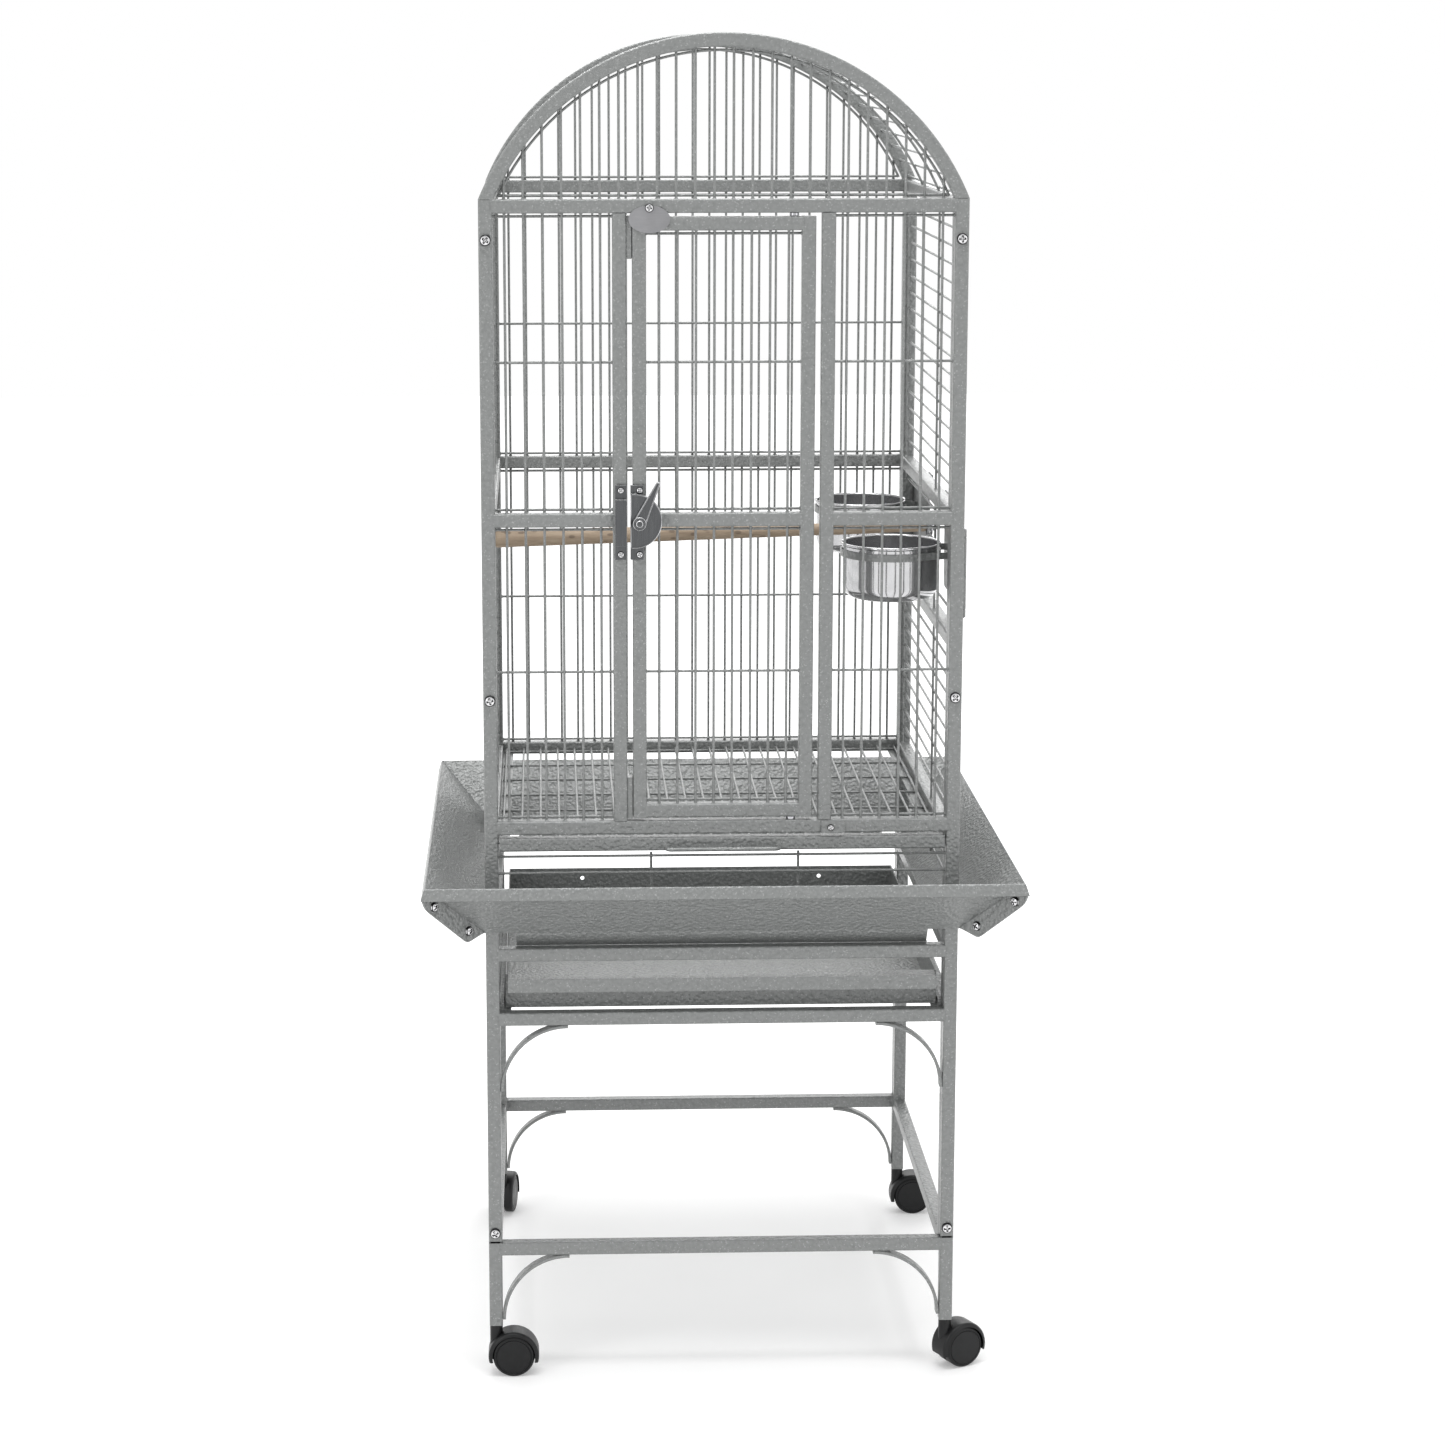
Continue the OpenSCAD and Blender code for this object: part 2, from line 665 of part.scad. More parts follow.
// The flange at a guard's end, in the upright plane of the mitre
module guard_flange(s) {
  k = sqrt(2);
  difference() {
    translate([0, s > 0 ? -flange_gap / 2 : flange_gap / 2, 0]) rotate([90, 0, 0])
      mirror([0, 0, s > 0 ? 0 : 1]) linear_extrude(guard_t) polygon([
        [k, guard_slope(1) + 0.4], [k * (guard_bend_u - 0.8), guard_slope(guard_bend_u - 0.8) + 0.4],
        [k * (guard_out - 1), guard_rim_z - rim_h + 1.5], [k * (guard_out - 3.5), guard_rim_z - rim_h - 7],
        [k * (guard_out - 6.5), guard_slope(guard_bend_u) - 21.6], [k * 17.6, guard_slope(17.6) - 22.4],
        [k * 4.2, guard_slope(4.2) - 3.5]
      ]);
    for (u = guard_bolt_u) translate([k * u, 0, guard_slope(u) - guard_bolt_drop]) rotate([90, 0, 0])
      cylinder(r = hole_r, h = 6, center = true);
  }
}

module front_seed_guard() color(paint) guard(cage_w, cage_d);
module rear_seed_guard() color(paint) rotate(180) guard(cage_w, cage_d);
module left_seed_guard() color(paint) rotate(-90) guard(cage_d, cage_w);
module right_seed_guard() color(paint) rotate(90) guard(cage_d, cage_w);

module guard_bolts() color(chrome)
  for (sx = [-1, 1], sy = [-1, 1], u = guard_bolt_u)
    translate([sx * (hw + guard_gap), sy * (hd + guard_gap), guard_slope(u) - guard_bolt_drop])
      rotate(atan2(sy, sx)) translate([u * sqrt(2), 0, 0]) rotate([sx * sy < 0 ? 90 : -90, 0, 0]) {
        translate([0, 0, guard_t + flange_gap / 2 + 0.02]) cross_bolt(bolt_r, 4.7, 3, 2 * guard_t + 5);
        translate([0, 0, -guard_t - flange_gap / 2 - 3.52]) nut(bolt_r, 8, 3.5);
      }

// ---- runners and stops ----

module tray_guides() color(paint)
  for (s = [-1, 1]) {
    run = 2 * (inner_y - seam);
    translate([s > 0 ? inner_x - guide_w - seam : -inner_x + seam, -run / 2, tray_rail_top - runner_t])
      cube([guide_w, run, runner_t + guide_h]);
    translate([s > 0 ? inner_x - runner_w - seam : -inner_x + seam, -run / 2, tray_rail_top - runner_t])
      cube([runner_w, run, runner_t]);
  }

module grate_runners() color(paint)
  for (s = [-1, 1])
    translate([s > 0 ? inner_x - runner_w - seam : -inner_x + seam, -bay_y,
               grate_cross_z - wire / 2 - runner_gap - runner_t])
      cube([runner_w, bay_y + inner_y - seam, runner_t]);

module door_stops() color(paint)
  for (z = [door_z0 - 1, door_z1 - stop_h + 1]) {
    x0 = -door_post_x + seam;
    x1 = -door_hw - stop_gap;
    translate([x0, -hd + 2, z]) cube([x1 - x0, tube, stop_h]);
    translate([x0, -inner_y + stop_gap, z]) cube([x1 - x0 + 9, stop_t, stop_h]);
  }

module hinge_pins() color(chrome) {
  y = -post_y;
  translate([hinge_x, y, sill_z + tube_wall + 1]) cylinder(r = hinge_r, h = tube + door_gap + tube - tube_wall - 4);
  translate([hinge_x, y, sill_top + seam]) cylinder(r = collar_r, h = door_gap - collar_gap - seam);
  translate([hinge_x, y, door_z1 - tube + tube_wall + 1])
    cylinder(r = hinge_r, h = tube + door_gap + tube - tube_wall - 4);
  translate([hinge_x, y, door_z1 + collar_gap]) cylinder(r = collar_r, h = door_gap - collar_gap - seam);
}

// ---- latch ----

module latch_keeper() color(gunmetal) difference() {
  union() {
    translate([keeper_x1 - keeper_w, -hd - plate_base_t, latch_z - latch_h / 2])
      cube([keeper_w, plate_base_t - seam, latch_h]);
    translate([keeper_x1 - keeper_w, -hd - keeper_t, latch_z - keeper_rise])
      cube([keeper_w, keeper_t - seam, 2 * keeper_rise]);
  }
  translate([keeper_x1 - keeper_w + 2, -hd - latch_depth + bolt_front - slide_gap, latch_z - bolt_h / 2 - slide_gap])
    cube([keeper_w, bolt_t + 2 * slide_gap, bolt_h + 2 * slide_gap]);
  for (z = latch_screw_z) translate([-keeper_screw_x, -hd + 1, z]) rotate([90, 0, 0])
    cylinder(r = screw_r + 0.05, h = keeper_t);
}

module latch_body() color(gunmetal) difference() {
  union() {
    translate([-latch_edge_x, -hd - plate_base_t, latch_z - latch_h / 2])
      cube([12.5, plate_base_t - seam, latch_h]);
    intersection() {
      translate([drum_x, -hd - seam, drum_z]) rotate([90, 0, 0]) cylinder(r = drum_r, h = latch_depth - seam);
      translate([-latch_edge_x, -hd - latch_depth, drum_z - drum_r]) cube([2 * drum_r, latch_depth, 2 * drum_r]);
    }
  }
  translate([-latch_edge_x - 1, -hd - latch_depth + bolt_front - slide_gap, latch_z - bolt_h / 2 - slide_gap])
    cube([bolt_len + 3, bolt_t + 2 * slide_gap, bolt_h + 2 * slide_gap]);
  translate([lever_x, -hd - latch_depth + 1.6, latch_z]) rotate([90, 0, 0])
    cylinder(r = lever_shaft_r + pin_clear, h = latch_depth);
  for (z = latch_screw_z) translate([stile_x, -hd + 1, z]) rotate([90, 0, 0])
    cylinder(r = screw_r + 0.05, h = latch_depth + 2);
}

module latch_bolt() color(steel)
  translate([-latch_edge_x + 0.1, -hd - latch_depth + bolt_front, latch_z - bolt_h / 2])
    cube([bolt_len, bolt_t, bolt_h]);

module latch_lever() color(gunmetal) {
  front = -hd - latch_depth - 0.3;
  translate([lever_x, front, latch_z]) rotate([90, 0, 0]) {
    translate([0, 0, -1.7]) cylinder(r = lever_shaft_r, h = 2);
    cylinder(r = lever_boss_r, h = lever_t);
    translate([0, 0, lever_t]) pan_head(lever_boss_r * 0.55, 1.6);
    hull() {
      cylinder(r = lever_boss_r - 0.3, h = lever_t * 0.7, $fn = 32);
      rotate(90 - lever_a) translate([lever_reach, 0, 0]) cylinder(r = lever_tip_r, h = lever_t * 0.5, $fn = 32);
    }
  }
}

module screw_y(x, y, z) {
  translate([x, y, z]) rotate([90, 0, 0]) cross_bolt(screw_r, screw_head_r, 2, 7);
}

module small_screws() color(chrome) {
  for (z = latch_screw_z) screw_y(-keeper_screw_x, -hd - plate_base_t - seam, z);
  screw_y(tab_x, -hd - tab_gap - tab_t - 0.15, tab_z);
  translate([badge_x, -hd - badge_gap - badge_t - 0.15, badge_screw_z]) rotate([90, 0, 0])
    cross_bolt(screw_r, badge_head_r, 2.4, 7);
  for (e = [-1, 1]) translate([catch_x + 1.5 + 0.15, e * catch_y, catch_z]) rotate([0, 90, 0])
    cross_bolt(screw_r, screw_head_r, 2, 8);
}

// ---- door ----

module door_frame() color(paint) {
  for (s = [-1, 1]) difference() {
    tube_z(s * (door_hw - tube / 2), -post_y, door_z0, door_z1);
    for (z = latch_screw_z) translate([stile_x, -post_y, z]) rotate([90, 0, 0])
      cylinder(r = screw_r + 0.05, h = tube);
  }
  difference() {
    union() for (z = [door_z0, door_z1 - tube]) tube_x(-door_hw + tube + seam, door_hw - tube - seam, -post_y, z);
    translate([hinge_x, -post_y, door_z0 - 1]) cylinder(r = hinge_r + pin_clear, h = tube - tube_wall);
    translate([hinge_x, -post_y, door_z1 - tube + tube_wall + 0.5]) cylinder(r = hinge_r + pin_clear, h = tube);
  }
  tube_x(-door_hw + tube + seam, door_hw - tube - seam, -post_y, waist_z);
}

module door_bars() color(paint) {
  a = -door_hw + tube;
  n = floor(2 * door_hw / door_bar_pitch) - 1;
  xs = centred(a, -a, n, door_bar_pitch);
  lows = [door_z0 + tube + border, lower_cross_z, waist_z - border];
  highs = [waist_top + border, upper_cross_z, door_z1 - tube - border];
  front_grille(xs, a, -a, door_z0 + tube, waist_z, lows, -grille_y, 1);
  front_grille(xs, a, -a, waist_top, door_z1 - tube, highs, -grille_y, 1);
}

module door_screws() color(chrome) {
  for (z = latch_screw_z) screw_y(stile_x, -hd - plate_base_t - seam, z);
}

// A bare oval plate that hangs over the door's corner and turns on its screw
module badge_plate() color(steel) difference() {
  translate([badge_x, -hd - badge_gap, badge_z]) rotate([90, 0, 0]) linear_extrude(badge_t) {
    polygon([for (a = [0 : 7.5 : 352.5]) [badge_w / 2 * cos(a), badge_h / 2 * sin(a)]]);
    translate([0, badge_screw_z - badge_z]) circle(r = badge_lug_r);
  }
  translate([badge_x, -hd, badge_screw_z]) rotate([90, 0, 0]) cylinder(r = screw_r + pin_clear, h = 6);
}

// ---- perch ----

module perch() color(timber) {
  x = grille_x - wire / 2 - 0.1 - washer_t - 0.15;
  a = atan2(perch_z2 - perch_z1, 2 * x);
  difference() {
    translate([0, 0, (perch_z1 + perch_z2) / 2]) rotate([0, 90 - a, 0])
      cylinder(r1 = perch_r1, r2 = perch_r2, h = 2 * x / cos(a) - 0.6, center = true);
    translate([-x - 1, 0, perch_z1]) rotate([0, 90, 0]) cylinder(r = perch_bolt_r + 0.05, h = perch_bolt_in + 4);
    translate([x - perch_bolt_in - 3, 0, perch_z2]) rotate([0, 90, 0])
      cylinder(r = perch_bolt_r + 0.05, h = perch_bolt_in + 4);
  }
}

washer_t = 1.4;
perch_bolt_r = 2.2;
perch_bolt_in = 22;
perch_bolt_out = 6.5;
washer_r = 9.4;
wing_w = 22;
wing_h = 4;

// Bolt, washers and wing nut at one end of the perch; the body is on the +X side
module perch_bolt(s, z) {
  inner = grille_x - wire / 2 - 0.1;
  outer = grille_x + wire / 2 + 0.1;
  translate([s > 0 ? inner - perch_bolt_in : -outer - perch_bolt_out, 0, z]) rotate([0, 90, 0])
    cylinder(r = perch_bolt_r, h = outer + perch_bolt_out - inner + perch_bolt_in);
  for (x = [inner - washer_t, outer]) translate([s > 0 ? x : -x - washer_t, 0, z]) rotate([0, 90, 0]) difference() {
    cylinder(r = washer_r, h = washer_t);
    translate([0, 0, -1]) cylinder(r = perch_bolt_r + 0.03, h = washer_t + 2);
  }
  translate([s > 0 ? outer + washer_t + 0.02 : -outer - washer_t - 0.02 - wing_h, 0, z]) rotate([0, 90, 0])
    difference() {
      union() {
        cylinder(r = 4.6, h = wing_h);
        translate([-1.2, -wing_w / 2, 0]) cube([2.4, wing_w, wing_h]);
      }
      translate([0, 0, -1]) cylinder(r = perch_bolt_r + 0.03, h = wing_h + 2);
    }
}

module perch_bolts() color(chrome) {
  perch_bolt(-1, perch_z1);
  perch_bolt(1, perch_z2);
}

// ---- feeders ----

bracket_h = 7;
bracket_z = [plate_z0 - bracket_h - 0.4, plate_z1 + 0.4];

module feeder_hinge_pins() color(gunmetal)
  for (e = [-1, 1]) {
    z0 = bracket_z[0] - 1;
    z1 = bracket_z[1] + bracket_h;
    translate([feeder_hinge_x, e * feeder_hinge_y, z0]) cylinder(r = feeder_pin_r, h = z1 - z0 + 0.5);
    translate([feeder_hinge_x, e * feeder_hinge_y, z1 + 0.1]) pan_head(knuckle_r, 1.8);
  }

module feeder_brackets() color(paint)
  for (e = [-1, 1], z = bracket_z) difference() {
    union() {
      translate([feeder_hinge_x, e * feeder_hinge_y, z]) cylinder(r = knuckle_r - 0.1, h = bracket_h);
      translate([hw + seam, e * feeder_hinge_y - 3, z]) cube([0.9, 6, bracket_h]);
    }
    translate([feeder_hinge_x, e * feeder_hinge_y, z - 1]) cylinder(r = feeder_pin_r + 0.02, h = bracket_h + 2);
  }

// The plate, its hinge knuckle and the strap ring that carries the bowl; the hinge is on the e side
module feeder_door(e) {
  near = e * feeder_hinge_y;
  free = e * plate_end_y;
  c = 8;
  y0 = min(near, free);
  y1 = max(near, free);
  difference() {
    union() {
      translate([plate_x, y0, plate_z0 + c]) cube([plate_t, y1 - y0, plate_h - 2 * c]);
      translate([plate_x, e > 0 ? y0 + c : y0, plate_z0]) cube([plate_t, y1 - y0 - c, plate_h]);
      for (z = [plate_z0 + c, plate_z1 - c]) translate([plate_x, free + e * c, z]) rotate([0, 90, 0])
        cylinder(r = c, h = plate_t);
      translate([feeder_hinge_x, near, plate_z0]) cylinder(r = knuckle_r, h = plate_h);
    }
    translate([feeder_hinge_x, near, plate_z0 - 1]) cylinder(r = feeder_pin_r + pin_clear, h = plate_h + 2);
  }
  z0 = ring_top - strap_h;
  difference() {
    union() {
      translate([bowl_x, e * bowl_y, z0]) cylinder(r = ring_r + ring_t, h = strap_h);
      for (s = [-1, 1]) strap([bowl_x, e * bowl_y + s * (ring_r + ring_t / 2)], [plate_x + 0.4, e * bowl_y + s * 26],
                              ring_t, z0 + 0.25, strap_h - 0.5);
    }
    translate([bowl_x, e * bowl_y, z0 - 1]) cylinder(r = ring_r, h = strap_h + 2);
  }
}

module feeder_door_front() color(paint) feeder_door(-1);
module feeder_door_rear() color(paint) feeder_door(1);

// A pressed steel bowl with a rolled rim
module feed_bowl(e) {
  z0 = bowl_top - bowl_h;
  c = 10;
  t = bowl_wall;
  outer = [for (a = [0 : 15 : 90]) [bowl_foot_r + c * sin(a), z0 + c - c * cos(a)]];
  inner = [for (a = [90 : -15 : 0]) [bowl_foot_r + (c - t) * sin(a), z0 + c - (c - t) * cos(a)]];
  translate([bowl_x, e * bowl_y, 0]) rotate_extrude($fn = 96) polygon(concat(
    [[0, z0]], outer,
    [[bowl_body_r, ring_top + 0.2], [bowl_r - 0.4, ring_top + 0.2], [bowl_r, ring_top + 0.8],
     [bowl_r, bowl_top - 0.8], [bowl_r - 0.6, bowl_top], [bowl_body_r - 0.2, bowl_top], [bowl_body_r - t, bowl_top - 0.8]],
    inner, [[0, z0 + t]]
  ));
}

module feed_bowl_front() color(steel) feed_bowl(-1);
module feed_bowl_rear() color(steel) feed_bowl(1);

// A turn button on the waist rail, stored level; it hangs down over the plate when turned
module feeder_catch(e) {
  difference() {
    union() {
      translate([catch_x, e * catch_y, catch_z]) rotate([0, 90, 0]) cylinder(r = catch_w / 2, h = 1.5);
      translate([catch_x, e > 0 ? catch_y - catch_len + catch_w / 2 : -catch_y, catch_z - catch_w / 2])
        cube([1.5, catch_len - catch_w / 2, catch_w]);
      translate([hw + 0.2, e * catch_y, catch_z]) rotate([0, 90, 0]) cylinder(r = 3.6, h = catch_x - hw);
    }
    translate([hw, e * catch_y, catch_z]) rotate([0, 90, 0]) cylinder(r = screw_r + pin_clear, h = 8);
  }
}

module feeder_catch_front() color(gunmetal) feeder_catch(-1);
module feeder_catch_rear() color(gunmetal) feeder_catch(1);

// ---- grate and tray ----

module grate_frame() color(paint) {
  tube_x(-grate_hx, grate_hx, -post_y, grate_z);
  handle_x = 54;
  handle_r = 2;
  reach = 12;
  for (s = [-1, 1]) translate([s * handle_x, -hd - seam, grate_z + 4]) rotate([90, 0, 0])
    cylinder(r = handle_r, h = reach);
  translate([-handle_x - handle_r, -hd - seam - reach, grate_z + 4]) rotate([0, 90, 0])
    cylinder(r = handle_r - 0.05, h = 2 * (handle_x + handle_r));
}

module grate_wires() color(paint) {
  y0 = -inner_y + seam;
  side = grate_hx - wire;
  n = floor(2 * side / bar_pitch);
  for (i = [0 : n]) wire_y(-side + 2 * side * i / n, y0, grate_back_y, grate_wire_z);
  for (y = [grate_back_y - 2 * wire : -grate_cross_pitch : y0 + 8]) wire_x(-grate_hx, grate_hx, y, grate_cross_z);
}

// A turn button on the sill, stored level; it hangs down over the grate's bar when turned
module grate_lock_tab() color(paint) difference() {
  translate([tab_x - tab_up, -hd - tab_gap - tab_t, tab_z - tab_w / 2 + 2]) cube([tab_up + tab_down, tab_t, tab_w - 2]);
  translate([tab_x, -hd, tab_z]) rotate([90, 0, 0]) cylinder(r = screw_r + pin_clear, h = 6);
}

module tray() color(paint) {
  hx = tray_w / 2;
  t = tray_t;
  run = tray_back_y - tray_front_y;
  top = tray_z + tray_h;
  lip_hx = hx - 2.5;
  difference() {
    translate([-hx, tray_front_y, tray_z]) cube([tray_w, run, tray_h]);
    translate([-hx + t, tray_front_y + t, tray_z + t]) cube([tray_w - 2 * t, run - 2 * t, tray_h]);
    for (s = [-1, 1]) translate([s * tray_hole_x, tray_back_y + 1, top - 11]) rotate([90, 0, 0])
      cylinder(r = 2.2, h = t + 3);
  }
  translate([-lip_hx, tray_front_y - tray_lip, top - t]) cube([2 * lip_hx, tray_lip + t, t]);
  translate([-lip_hx, tray_front_y - tray_lip, top - tray_lip_h]) cube([2 * lip_hx, t, tray_lip_h]);
}

// ---- casters ----

function caster_x(i) = (i % 2 == 0 ? -1 : 1) * post_x;
function caster_y(i) = (i < 2 ? -1 : 1) * post_y;

module caster_sockets() color(chrome)
  for (i = [0 : 3]) translate([caster_x(i), caster_y(i), leg_z]) difference() {
    side = tube - 2 * tube_wall - 2 * socket_gap;
    union() {
      translate([-side / 2, -side / 2, 0]) cube([side, side, socket_h]);
      translate([0, 0, -socket_flange]) cylinder(r = neck_r, h = socket_flange - seam);
      translate([0, 0, -socket_flange]) cylinder(r = side / 2, h = socket_flange + 1);
    }
    translate([0, 0, -socket_flange - 1]) cylinder(r = stem_r + pin_clear, h = socket_h + socket_flange + 2);
  }

// Hood with a middle web, a neck and a stem; the axle lies along Y before the caster is turned
module caster_hood(i) color(black)
  translate([caster_x(i), caster_y(i), 0]) rotate(caster_a[i]) difference() {
    union() {
      translate([trail, hood_w / 2, wheel_r]) rotate([90, 0, 0]) difference() {
        cylinder(r = hood_r, h = hood_w);
        translate([0, 0, -1]) cylinder(r = hood_r - hood_t, h = (hood_w - web_t) / 2 + 1);
        translate([0, 0, (hood_w + web_t) / 2]) cylinder(r = hood_r - hood_t, h = (hood_w - web_t) / 2 + 1);
      }
      difference() {
        union() {
          cylinder(r = neck_r, h = leg_z - socket_flange - 0.3);
          cylinder(r = stem_r, h = leg_z + socket_h - 4);
        }
        translate([trail, hood_w, wheel_r]) rotate([90, 0, 0]) cylinder(r = hood_r - 1, h = 2 * hood_w);
        translate([-20, -20, -1]) cube([40, 40, wheel_r + 11]);
      }
    }
    translate([trail - 2 * hood_r, -hood_w, -10]) cube([4 * hood_r, 2 * hood_w, hood_cut_z + 10]);
    translate([trail, hood_w, wheel_r]) rotate([90, 0, 0]) cylinder(r = axle_r + pin_clear, h = 2 * hood_w);
  }

module caster_wheels(i) color(black)
  translate([caster_x(i), caster_y(i), 0]) rotate(caster_a[i]) translate([trail, 0, wheel_r]) {
    gap = web_t / 2 + 0.4;
    rotate([90, 0, 0]) cylinder(r = axle_r, h = 2 * (gap + wheel_w) - 2.1, center = true);
    for (s = [-1, 1]) difference() {
      translate([0, s * (gap + wheel_w / 2), 0]) rotate([90, 0, 0]) cylinder(r = wheel_r, h = wheel_w, center = true, $fn = 96);
      translate([0, s * (gap + wheel_w / 2 - 1), 0]) rotate([90, 0, 0])
        cylinder(r = axle_r + 0.02, h = wheel_w, center = true);
    }
  }

module caster_hood_front_left() caster_hood(0);
module caster_hood_front_right() caster_hood(1);
module caster_hood_rear_left() caster_hood(2);
module caster_hood_rear_right() caster_hood(3);
module caster_wheels_front_left() caster_wheels(0);
module caster_wheels_front_right() caster_wheels(1);
module caster_wheels_rear_left() caster_wheels(2);
module caster_wheels_rear_right() caster_wheels(3);

front_frame();
rear_frame();
left_frame();
right_frame();
front_arch();
rear_arch();
front_left_bars();
front_right_bars();
front_dome_bars();
rear_bars();
rear_dome_bars();
left_bars();
right_bars();
dome_bars();
dome_hoops();
apron_wires();
base_frame();
stand_braces();
frame_bolts();
front_seed_guard();
rear_seed_guard();
left_seed_guard();
right_seed_guard();
guard_bolts();
tray_guides();
grate_runners();
door_stops();
hinge_pins();
latch_keeper();
small_screws();
perch();
perch_bolts();
feeder_hinge_pins();
feeder_brackets();
caster_sockets();
door_frame();
door_bars();
latch_body();
door_screws();
badge_plate();
latch_lever();
latch_bolt();
grate_frame();
grate_wires();
grate_lock_tab();
tray();
feeder_door_front();
feeder_door_rear();
feed_bowl_front();
feed_bowl_rear();
feeder_catch_front();
feeder_catch_rear();
caster_hood_front_left();
caster_hood_front_right();
caster_hood_rear_left();
caster_hood_rear_right();
caster_wheels_front_left();
caster_wheels_front_right();
caster_wheels_rear_left();
caster_wheels_rear_right();
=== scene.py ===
"""Bird cage on stand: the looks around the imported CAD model. Lengths are in millimetres."""

import json
import math
import random

import bmesh
import bpy
import numpy as np
from mathutils import Matrix, Vector, noise


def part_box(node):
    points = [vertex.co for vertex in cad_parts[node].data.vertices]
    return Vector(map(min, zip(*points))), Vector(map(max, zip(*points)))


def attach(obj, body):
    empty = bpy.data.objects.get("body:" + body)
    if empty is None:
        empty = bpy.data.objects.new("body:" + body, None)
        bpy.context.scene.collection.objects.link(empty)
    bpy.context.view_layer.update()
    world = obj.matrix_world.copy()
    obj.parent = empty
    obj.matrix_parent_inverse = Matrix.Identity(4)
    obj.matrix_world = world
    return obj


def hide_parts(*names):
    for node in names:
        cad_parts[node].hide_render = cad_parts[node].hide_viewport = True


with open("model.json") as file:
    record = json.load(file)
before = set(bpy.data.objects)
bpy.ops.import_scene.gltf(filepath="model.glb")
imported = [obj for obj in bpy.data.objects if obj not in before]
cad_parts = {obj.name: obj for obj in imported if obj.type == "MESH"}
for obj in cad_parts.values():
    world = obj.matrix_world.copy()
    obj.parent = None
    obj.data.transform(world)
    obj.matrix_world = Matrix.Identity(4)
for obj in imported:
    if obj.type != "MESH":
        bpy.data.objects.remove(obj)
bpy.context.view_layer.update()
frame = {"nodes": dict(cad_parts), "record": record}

MM = 0.001
scene = bpy.context.scene
scene.view_settings.view_transform = "Standard"

# ---- camera

CAMERA_PLACE = (-170, -3297.5, 1292)
CAMERA_PITCH, CAMERA_YAW, CAMERA_ROLL = math.radians(10.4), math.radians(1.75), math.radians(-0.1)
CAMERA_SHIFT = (0.055, -0.051)
CAMERA_LENS = 81.9


def make_camera():
    data = bpy.data.cameras.new("view")
    data.sensor_width = 36
    data.lens = CAMERA_LENS
    data.shift_x, data.shift_y = CAMERA_SHIFT
    data.clip_end = 60
    cam = bpy.data.objects.new("view", data)
    look = Vector((math.sin(CAMERA_YAW) * math.cos(CAMERA_PITCH),
                   math.cos(CAMERA_YAW) * math.cos(CAMERA_PITCH), -math.sin(CAMERA_PITCH)))
    turn = look.to_track_quat("-Z", "Y").to_matrix() @ Matrix.Rotation(CAMERA_ROLL, 3, "Z")
    cam.matrix_world = Matrix.Translation(Vector(CAMERA_PLACE) * MM) @ turn.to_4x4()
    scene.collection.objects.link(cam)
    scene.camera = cam


make_camera()

# ---- sizes shared with the part's source

TUBE, CORNER = 13, 1.7
WIRE_R, WELD = 1.25, 2.2
# a wire's reach into what it is welded to; half the breadth and depth of a weld between two wires
INTO_WELD = 0.3
NUGGET, NUGGET_DEEP = 1.75, 1.15
# how a wire swells toward a weld: the distance from its end, and its radius over the usual one
FLARE = ((0, 1.75), (0.45, 1.6), (0.9, 1.2), (1.6, 1))
# a tube taller than this is a post, and ends flat; the others reach into what they are welded to
POST_HEIGHT, TUBE_INTO_WELD = 200, CORNER + 0.2
PITCH, DOOR_PITCH = 17.8, 17.35
# from a frame to its nearest cross wire, the play between touching parts, half the cage's width
BORDER, SEAM, HW = 3, 0.05, 228.5
POST = HW - TUBE / 2
INNER = HW - TUBE
BAY = HW - 2 * TUBE
SIDE_UPRIGHT = 68.5
SILL_TOP, GRATE_TOP, FEEDER_TOP = 560.5, 544, 738
FEEDER_Z, WAIST_Z, EAVE_Z = 725, 845, 1139
WAIST_TOP, EAVE_TOP = WAIST_Z + TUBE, EAVE_Z + TUBE
LOWER_CROSS, UPPER_CROSS = 705, 1000
DOOR_Z0, DOOR_Z1, DOOR_HW = 563.7, 1135.8, 85.75
DOME_TOP = 1304
DOME_RISE = DOME_TOP - EAVE_TOP
DOME_R = (DOME_RISE ** 2 + HW ** 2) / (2 * DOME_RISE)
DOME_Z = DOME_TOP - DOME_R
DOME_IN, DOME_BAR = DOME_R - TUBE, DOME_R - TUBE / 2
# the bare wires below the sill, and how far their uprights pass them
APRON_LINES, APRON_UPRIGHTS, APRON_PAST = (525, 508.5, 492), (-68.5, 73.4), 3
# the level bars at the feeder openings: lowest, highest, how many between, and their ends
FEEDER_BAR_LOW, FEEDER_BAR_HIGH, FEEDER_BARS, PAST_UPRIGHT = 756.25, 834.75, 4, 2.5

WIRE_SIDES = 12
SMOOTH_ANGLE = 35
PAINT = "hammertone_paint"
BODIES = frame["record"]["behaviour"]["bodies"]
BODY = {node: body for body, nodes in BODIES.items() for node in nodes}


def box(node):
    low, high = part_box(node)
    return low / MM, high / MM


# ---- shapes


def around(direction):
    """A direction and two more at right angles to it."""
    d = Vector(direction).normalized()
    side = d.cross(Vector((0, 0, 1)) if abs(d.z) < 0.9 else Vector((1, 0, 0))).normalized()
    return d, side, d.cross(side).normalized()


def spoke(a, b, k, sides):
    """The way from the centre to point k around a circle, from a toward b."""
    t = 2 * math.pi * k / sides
    return a * math.cos(t) + b * math.sin(t)


def arc(cx, cy, r, degrees):
    """Points of a circle at some angles."""
    turns = [math.radians(d) for d in degrees]
    return [(cx + r * math.cos(a), cy + r * math.sin(a)) for a in turns]


